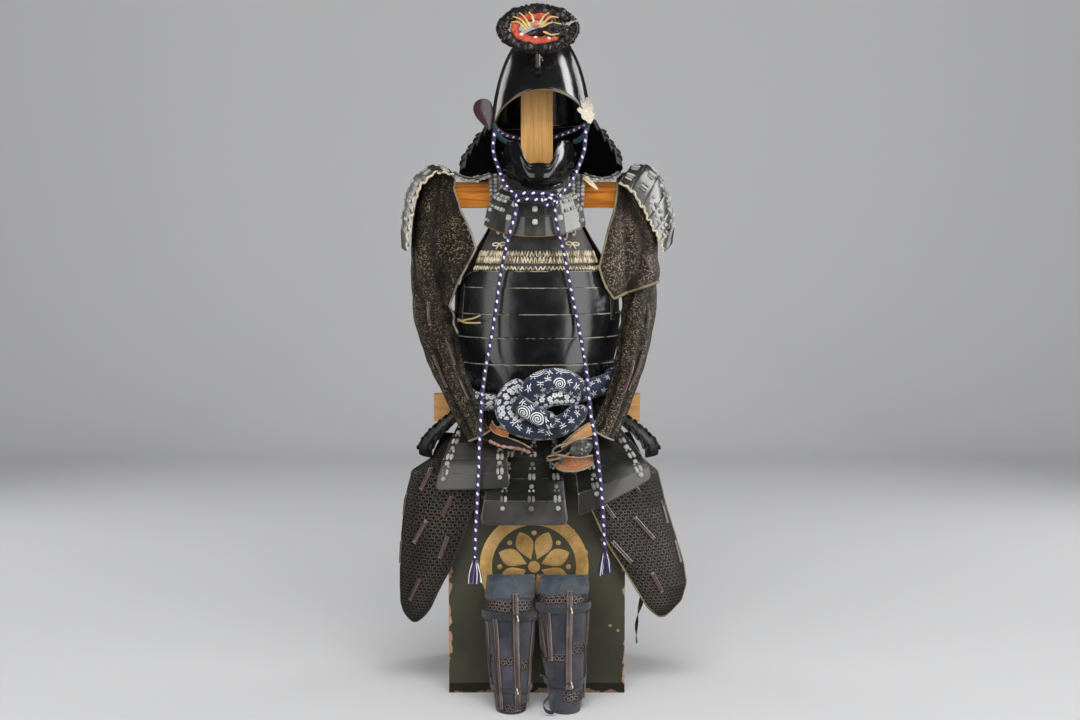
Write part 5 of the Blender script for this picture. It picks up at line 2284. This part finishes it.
    def shoulder_band(self, label: str, side: int) -> None:
        """Makes the laced leather band from the shoulder strap over the bar to the guard's top."""
        path = curve_through([(side * 104, -34, 1136), (side * 128, -34, 1128), (side * 158, -28, 1127),
                              (side * 188, -22, 1140)], 60)
        across, out = np.tile([0.0, 1, 0], (60, 1)), unit(np.cross(np.tile([0.0, 1, 0], (60, 1)),
                                                                   np.gradient(path, axis=0)))
        out = out * np.sign(out[:, 2:])
        put(f"shoulder_band_{label}", swept(path, across, out, flat_bar(44, 4), 1.0), CHEST_LEATHER,
            "dark_leather")
        rng, rows = np.random.default_rng(51 + side), []
        for row in np.linspace(-23, 20, 6):
            at = np.arange(3, 58, 4)
            frames = np.stack([tangents(path)[at], across[at], out[at]], -1)
            drop = -3.0 if row < -22 else 2.4
            rows.append(scattered(pebble(3.8, 3.6, 3.2, 0.9, 7, 5),
                                  path[at] + across[at] * row + out[at] * drop
                                  + rng.normal(0, 1.1, (len(at), 3)), frames,
                                  rng.uniform(0.2, 1.0, len(at)), rng.uniform(0.85, 1.2, len(at))))
        put(f"shoulder_band_{label}_lacing", joined(rows), KNOT_SILK, "silk_cord")


@dataclass
class Sleeves:
    """The mail sleeves: the left in one piece, the right upper one slipped down over the lower."""

    # from the shoulder down: height, the arm's middle, its radii, the loose edge's reach
    left: tuple[tuple[float, ...], ...] = (
        (1143, -214, -8, 18, 22, 4), (1130, -218, -7, 29, 31, 12), (1112, -222, -6, 37, 36, 20),
        (1060, -232, -12, 42, 42, 46), (1010, -236, -20, 42, 42, 74), (978, -238, -26, 42, 42, 86),
        (940, -237, -31, 42, 42, 66), (900, -236, -38, 43, 43, 44), (862, -233, -46, 44, 43, 24),
        (822, -230, -58, 46, 42, 8), (770, -216, -88, 42, 38, 0), (700, -190, -128, 36, 32, 0),
        (638, -160, -163, 28, 26, 0), (596, -138, -190, 24, 21, 0), (572, -122, -204, 23, 20, 0))
    right_upper: tuple[tuple[float, ...], ...] = (
        (1142, 210, -10, 20, 26, 6), (1128, 212, -8, 31, 34, 14), (1108, 214, -6, 38, 40, 20),
        (1060, 218, -14, 48, 48, 26), (1005, 220, -22, 50, 52, 44), (955, 221, -30, 51, 54, 60),
        (915, 222, -38, 51, 55, 46), (884, 222, -44, 50, 55, 30))
    right_lower: tuple[tuple[float, ...], ...] = (
        (930, 228, -40, 37, 38, 0), (880, 228, -46, 38, 38, 0), (826, 226, -62, 38, 36, 0),
        (770, 216, -88, 36, 33, 0), (705, 200, -124, 32, 29, 0), (645, 176, -158, 27, 25, 0),
        (596, 154, -186, 24, 21, 0), (574, 142, -198, 23, 20, 0))

    def spread(self, u: Array, flap: Array) -> tuple[Array, Array, Array]:
        """Returns where u lies: the angle, its share of the way round, and how far on the flap."""
        opened = np.minimum(1, np.maximum(flap, 0) / 20)
        around = mix(1.0, 0.72, opened)
        share = np.minimum(1, u / around)
        degrees = mix(mix(-1.5, 44, opened), mix(358, 298, opened), share)
        return degrees, share, np.clip((u - around) / np.maximum(1 - around, 1e-6), 0, 1) * (opened > 0)

    def fold(self, degrees: Array, z: Array, v: Array, seed: int) -> Array:
        """Returns how far the cloth stands out: broad ridges down it, short ones at the bend."""
        bend = np.exp(-(((z - 815) / 42) ** 2))
        trough = (0.5 - 0.5 * np.sin(degrees / 12.5 + 2.6 * np.sin(v * 3.4 + seed) + 0.8
                                     * np.sin(z / 47))) ** 3
        return ((2.2 - 6.4 * trough) * (1 - 0.5 * bend)
                + 3.0 * bend * np.sin(z / 6.5 + degrees / 60)
                * np.maximum(0, np.cos(np.radians(degrees) + 0.8))
                + 2.2 * noise(degrees / 26, z / 30, seed) + 0.9 * noise(degrees / 9, z / 12, seed + 3))

    def surface(self, table: Sequence[Sequence[float]], side: int, seed: int, lift: float = 0.0) -> Surface:
        """Returns a sleeve's outer face, from behind the arm round its front to the flap."""
        highest, lowest = table[0][0], table[-1][0]
        slant = 0.32 if lowest > 800 else 0.0

        def face(u: Array, v: Array) -> Array:
            """Returns the sleeve's points, with long soft folds down it and short ones across the bend."""
            z = mix(highest, lowest, v)
            x, y, rx, ry, flap = row_at(table, z)
            degrees, share, t = self.spread(u, flap)
            turn = np.radians(degrees)
            out = (lift + self.fold(degrees, z, v, seed) * smooth(share * 12) * smooth((1 - v) * 14)
                   * smooth(v * 30) - 0.8)
            sag = np.sin(math.pi * t) * np.minimum(8, flap / 5)
            ripple = 3.0 * np.sin(z / 23 + seed) * t * (1 - 0.35 * t)
            aside = -side * ((rx + out) * np.cos(turn) + flap * t)
            front = y + (ry + out) * np.sin(turn) - flap * 0.5 * t - sag - ripple * 0.5
            level = (z - 4 * t + slant * side * aside * smooth(v) ** 2
                     - 0.5 * side * aside * smooth((700 - z) / 110))
            return np.stack([x + aside, front, level], -1)
        return face

    def build(self) -> None:
        """Builds the three stretches, their bindings and the splints on the forearms."""
        for label, table, side, seed, finish, cut, across, rows in (
                ("sleeve_left", self.left, -1, 2, SLEEVE_MAIL, (0.30, 0.56), 80, 108),
                ("sleeve_right_upper", self.right_upper, 1, 6, RIGHT_MAIL, (0.28, 0.225), 80, 58),
                ("sleeve_right_lower", self.right_lower, 1, 9, SLEEVE_MAIL, (0.22, 0.38), 64, 80)):
            face = self.surface(table, side, seed)
            patch = grid_patch(sampled(face, across, rows))
            u, v = even_grid(across, rows)
            z = mix(table[0][0], table[-1][0], v)
            degrees, _, t = self.spread(u, row_at(table, z)[4])
            deep = self.fold(degrees, z, v, seed) * (1 - t) + 2.5 * np.sin(9 * t + z / 60) * t
            patch.tone = np.clip(0.60 + deep / 11, 0, 1).ravel()
            mail = put(f"{label}_mail", patch, finish, "mail_cloth", (label,), *MAIL_WALL)
            parts = []
            if label != "sleeve_right_lower":
                parts.append(piping(edge_of(face, 0.998, (0.0, 0.62 if side < 0 else 1.0), 200), 2.4,
                                    (0.3, 1, 0), 0.3))
            if label == "sleeve_right_upper":
                parts.append(piping(edge_of(face, (0.0, 1.0), 0.996, 200), 3.0, (0, 0, 1), 0.35))
            else:
                parts.append(piping(edge_of(face, (0.0, 1.0), 0.996, 120), 2.2, (0, 0, 1), 0.2))
            put(f"{label}_binding", joined(parts), OCHRE_PIPING if "upper" in label else PIPING,
                "dark_leather")
        self.splints()

    def splints(self) -> None:
        """Makes the splints sewn on the sleeves, each from one angle and height to another."""
        for label, table, side, seed, lines in (
                ("left", self.left, -1, 2, ((296, 296, 768, 722), (300, 303, 690, 646),
                                            (262, 258, 856, 806), (236, 236, 742, 676))),
                ("right_upper", self.right_upper, 1, 6, ((254, 236, 958, 916),)),
                ("right_lower", self.right_lower, 1, 9, ((236, 236, 852, 800), (232, 236, 742, 670),
                                                         (262, 262, 730, 668)))):
            face = self.surface(table, side, seed, 1.2)
            highest, lowest = table[0][0], table[-1][0]
            bars = []
            for start, end, top, foot in lines:
                z, degrees = np.linspace(top, foot, 26), np.linspace(start, end, 26)
                z_table = row_at(table, z)
                opened = np.minimum(1, np.maximum(z_table[4], 0) / 20)
                first, last = mix(-1.5, 44, opened), mix(358, 298, opened)
                u = (degrees - first) / (last - first) * mix(1.0, 0.72, opened)
                path, frames = frames_on(face, u, (z - highest) / (lowest - highest), (side * 0.3, -1, 0))
                along = tangents(path)
                bars.append(splint(path, unit(np.cross(along, frames[..., 2])), frames[..., 2], 7.0, 2.8))
            put(f"sleeve_splints_{label}", joined(bars), REDDISH, "black_lacquer")


@dataclass
class HandGuards:
    """The hand guards: dark leather troughs from the cuffs, tan inside, with pale edges and teal loops."""

    left: tuple[tuple[float, ...], ...] = ((-118, -208, 582), (-6, -236, 548))
    right: tuple[tuple[float, ...], ...] = ((126, -212, 566), (22, -238, 528))
    # each trough: half width, then its front and back edges' angles, the back one's at the tips
    troughs: tuple[tuple[float, ...], ...] = ((21, -30, -212, -188), (27, -10, -226, -186))
    # on the right hand, from its wrist to its tips: the lower and upper lines of the tan flare behind the
    # plate, and the front and lower lines of the lining below it
    flare: tuple[tuple[tuple[float, float, float], ...], ...] = (
        ((148, -200, 586), (130, -214, 582), (100, -222, 572), (74, -226, 563), (52, -230, 552)),
        ((164, -186, 611), (138, -190, 607), (114, -196, 601), (88, -204, 586), (58, -220, 562)))
    lining: tuple[tuple[tuple[float, float, float], ...], ...] = (
        ((120, -240, 532), (104, -252, 541), (76, -256, 536), (46, -254, 540), (24, -246, 534)),
        ((122, -238, 520), (110, -247, 512), (78, -252, 504), (48, -250, 508), (22, -244, 531)))

    def surface(self, side: int, lift: float = 0.0) -> Surface:
        """Returns a guard's outer face: u from wrist to tips, v from front edge to back edge."""
        start, end = self.left if side < 0 else self.right
        width, front, back, back_tip = self.troughs[0 if side < 0 else 1]

        def face(u: Array, v: Array) -> Array:
            """Returns the trough's points: half a tube, wider at the cuff, wavy edged."""
            half = width * np.sqrt(np.clip(1 - (np.clip(u - 0.30, 0, 1) / 0.76) ** 2, 0.0,
                                           1)) * (1 + 0.20 * (1 - smooth(u * 2.6)))
            turn = np.radians(mix(front, mix(back, back_tip, smooth(u)), v))
            edge = np.abs(2 * v - 1) ** 4
            out = half * (1 + 0.16 * edge * np.sin(u * 8 + side)) + lift
            centre = [mix(a, b, u) for a, b in zip(start, end)]
            return np.stack([centre[0] + 4 * edge * np.sin(u * 11), centre[1] - out * 0.72 * np.cos(turn),
                             centre[2] + out * np.sin(turn)], -1)
        return face

    def between(self, lines: Sequence[Sequence[Sequence[float]]], bulge: float) -> Surface:
        """Returns a sheet of leather between two lines: it stands out by `bulge` and ripples."""
        first, second = (curve_through(line, 60) for line in lines)

        def face(u: Array, v: Array) -> Array:
            """Returns the sheet's points, u along the lines and v across them."""
            a, b = (np.stack([np.interp(u, np.linspace(0, 1, 60), line[:, k]) for k in range(3)], -1)
                    for line in (first, second))
            out = bulge * np.sin(math.pi * v) + 1.6 * np.sin(u * 15 + 4 * v) * v
            return mix(a, b, v[..., None]) - out[..., None] * np.array([0.0, 1, 0])
        return face

    def build(self) -> None:
        """Builds each trough, its edge, the cuffs' tan inside and the loops, then the plate."""
        for label, side in (("left", -1), ("right", 1)):
            face = self.surface(side)
            put(f"hand_{label}_leather", grid_patch(sampled(face, 50, 38), toward=(0, -1, -1)),
                HAND_LEATHER, "dark_leather", (f"hand_guard_{label}",), *MAIL_WALL)
            over = self.surface(side, 2.6)
            front = edge_of(self.surface(side, 1.0), (0.10, 0.97), 0.0, 80)
            lip = piping(front, 3.6 if side < 0 else 2.4, (0.2, 1, 0), 0.5)
            back = piping(edge_of(face, (0.97, 0.05), 1.0, 60), 2.0, (0.2, 1, 0), 0.3)
            put(f"hand_{label}_edge", joined([lip, back]), ROSE_PIPING if side < 0 else PIPING,
                "dark_leather")
            loops = [tube(edge_of(over, u, (0.0, reach), 24), 4.6, 9, side=(1, 0, 0), flat=0.5, ends=1)
                     for u, reach in (((0.62, 0.30), (0.76, 0.24)) if side < 0
                                      else ((0.74, 0.5), (0.93, 0.6)))]
            put(f"hand_{label}_loops", joined(loops), TEAL, "silk_cord")
        inside = (((-102, -202, 592), (-92, -212, 583), (-76, -217, 576), (-62, -220, 574)),
                  ((-97, -192, 606), (-88, -202, 594), (-72, -206, 592), (-58, -212, 584)))
        for label, lines, finish in (("left", inside, TAN), ("right", self.flare, PALE_TAN),
                                     ("right_lower", self.lining, TAN)):
            face = self.between(lines, -7)
            put(f"hand_{label}_lining", grid_patch(sampled(face, 60, 16), toward=(0, -1, 0)), finish,
                "tan_leather", (), 1.8, 0.5)
            edge = piping(edge_of(face, (0.0, 1.0), 1.0, 90), 1.7, (0.2, 1, 0), 0.3)
            put(f"hand_{label}_lining_edge", edge, PIPING, "dark_leather")
        self.plate()

    def plate(self) -> None:
        """Builds the domed plate on the right hand, with a beaded edge that runs round the cup."""
        start, end = np.array((142, -208, 570), float), np.array((40, -238, 536), float)
        s, r = np.meshgrid(np.linspace(0, 2 * math.pi, 96, endpoint=False), np.linspace(0.02, 1, 26))
        along = unit(end - start) * np.array([1, 0.2, 1])
        across = np.array([along[2], 0, -along[0]])
        centre = np.array([96.0, -248.0, 553.0])
        long = np.where(np.cos(s) > 0, 27, 24)
        x, y = long * r * np.cos(s), 18.5 * r * np.sin(s) * (1 + 0.12 * np.cos(s))
        ridge = lambda at, width: np.exp(-((r - at) / width) ** 2)
        swell = (14 * np.sqrt(np.clip(1 - r ** 2 * 0.94, 0, 1)) + 1.2 * ridge(0.55, 0.12)
                 * (0.5 + 0.5 * np.cos(7 * s))
                 + 1.3 * ridge(0.92, 0.04) + 1.0 * ridge(0.2, 0.12))
        out = np.array([0, -1.0, 0.1])
        grid = centre + x[..., None] * along + y[..., None] * across + swell[..., None] * out
        put("hand_right_plate", grid_patch(grid, ring=True, poles=(True, False), toward=(0, -1, 0)),
            EMBOSSED, "dark_leather", (), 1.6, 0.4)
        cup = curve_through([(118, -246, 574), (92, -250, 573), (66, -250, 565), (42, -248, 556),
                             (34, -248, 547), (46, -252, 539), (70, -254, 535), (96, -254, 535),
                             (120, -246, 538)], 160)
        put("hand_right_plate_edge", piping(cup, 1.9, (0, 1, 0), 0.3), PIPING, "dark_leather")


# ------------------------------------------------------------ sash
@dataclass
class Sash:
    """The printed cotton sash: a stuffed roll round the waist, tied in a ring in front."""

    belt: float = 18
    knot: float = 22

    def roll(self, points: Sequence[Sequence[float]], radius: float, seed: int, count: int = 150,
             sides: int = 44) -> Patch:
        """Makes a stuffed roll of cloth along a path.

        Its radius swells and pinches slowly along it, with shallow creases that run slantwise, and a seam.

        Args:
            points: the points that it passes through.
            radius: its mean radius.
            seed: what its creases depend on.
            count: how many rings it has.
            sides: faces round it.

        Returns:
            The closed patch.
        """
        path = curve_through(points, count)
        _, first, second = frames_along(path, (0, 1, 0.15))
        run = steps_along(path, 0)[:, None]
        turn = (np.arange(sides) * 2 * math.pi / sides)[None, :]
        crease = np.abs(np.sin(run / 9.0 + 1.4 * np.sin(turn + seed) + seed)) ** 0.5
        pucker = 0.5 + 0.5 * np.sin(run / 41 + 2 * seed + np.cos(turn))
        size = radius * (0.985 + 0.03 * noise(run / 30, turn * 1.0, seed)) + 0.9 * (crease - 0.8) * pucker
        size = size - 1.2 * np.exp(-((np.mod(turn - 2.2 + run / 160, 2 * math.pi) - math.pi) / 0.12) ** 2)
        left = np.clip(np.minimum(run, run[-1] - run) / (0.55 * radius), 0, 1)
        size = size * np.sqrt(np.clip(1 - (1 - left) ** 2, 0.02, 1))
        ring = np.cos(turn)[..., None] * first[:, None] + np.sin(turn)[..., None] * second[:, None]
        patch = grid_patch(path[:, None] + size[..., None] * ring, ring=True, poles=(True, True))
        patch.quad_map = patch.quad_map + seed * 0.173
        return patch

    def build(self) -> None:
        """Builds the roll round the waist, the arm to the right, the ring, the loop over it and the tail."""
        t = np.linspace(0, 1, 21)
        degrees = mix(54, 336, t)
        lift = np.maximum(0, np.cos(np.radians((degrees - 80) * 0.9)))
        waist = torso(mix(674, 700, lift), degrees, self.belt + STEP + 3)
        waist[:, 2] = mix(668, 694, lift) - 30 * smooth((degrees - 285) / 40)
        arm = torso(mix(655, 691, np.linspace(0, 1, 7)), np.linspace(18, 66, 7), self.knot + 7)
        arm[:, 2] = np.linspace(656, 688, 7)
        rolls = {
            "belt": (waist, self.belt + 1.4, 0.3, 200),
            "right_end": (arm, self.knot + 0.6, 0.1, 110),
            "ring": ([(-26, -158, 676), (-54, -170, 664), (-68, -186, 634), (-54, -198, 604),
                      (-14, -202, 589), (32, -202, 590), (68, -196, 604), (86, -190, 624),
                      (86, -186, 640)], self.knot + 1.4, 0.0, 200),
            "inner": ([(92, -184, 652), (66, -194, 659), (36, -198, 657), (8, -196, 645), (-8, -190, 628)],
                      self.knot - 2.6, 0.9, 110),
            "top_loop": ([(-20, -202, 655), (-6, -208, 682), (34, -210, 698), (72, -208, 690),
                          (94, -204, 668)], self.knot + 1.4,
                         0.3, 130),
            "tail": ([(-46, -216, 652), (-26, -226, 638), (2, -234, 620), (24, -238, 612),
                      (40, -238, 622)], self.knot - 2.6,
                     0.3, 90)}
        for seed, (label, (points, radius, bed, count)) in enumerate(rolls.items()):
            patch = self.roll(points, radius, seed + 1, count)
            x, z = patch.points[:, 0], patch.points[:, 2]
            if label == "ring":
                patch.tone = np.where((x < -26) & (z > 598 - 0.2 * x), 0.9, 0.1)
            elif label == "belt":
                patch.tone = np.where(x < -80, 0.9, 0.1)
            else:
                patch.tone = np.full(len(patch.points), bed)
            piece = put(f"sash_{label}_roll", patch, PRINT, "sash_cotton", () if label == "inner"
                        else (f"sash_{label}",), sharp=70)


def main() -> None:
    """Builds every sub-assembly in order and reports it."""
    logging.basicConfig(level=logging.INFO, format="%(name)s: %(message)s")
    for assembly in (Studio(), HelmetCord(), ArmourBox(), Stand(), Cuirass(), Tassets(), ThighGuards(),
                     ShinGuards(), Helmet(), NeckGuard(), Crest(), FaceMask(), ThroatGuard(),
                     ShoulderGuards(), Sleeves(), HandGuards(), Sash()):
        LOG.info("building %s", type(assembly).__name__)
        assembly.build()
    {"solids": [list(corner) for corner in SOLID_BOUNDS], "visual": [list(corner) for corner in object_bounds()]}


if __name__ == "__main__":
    main()
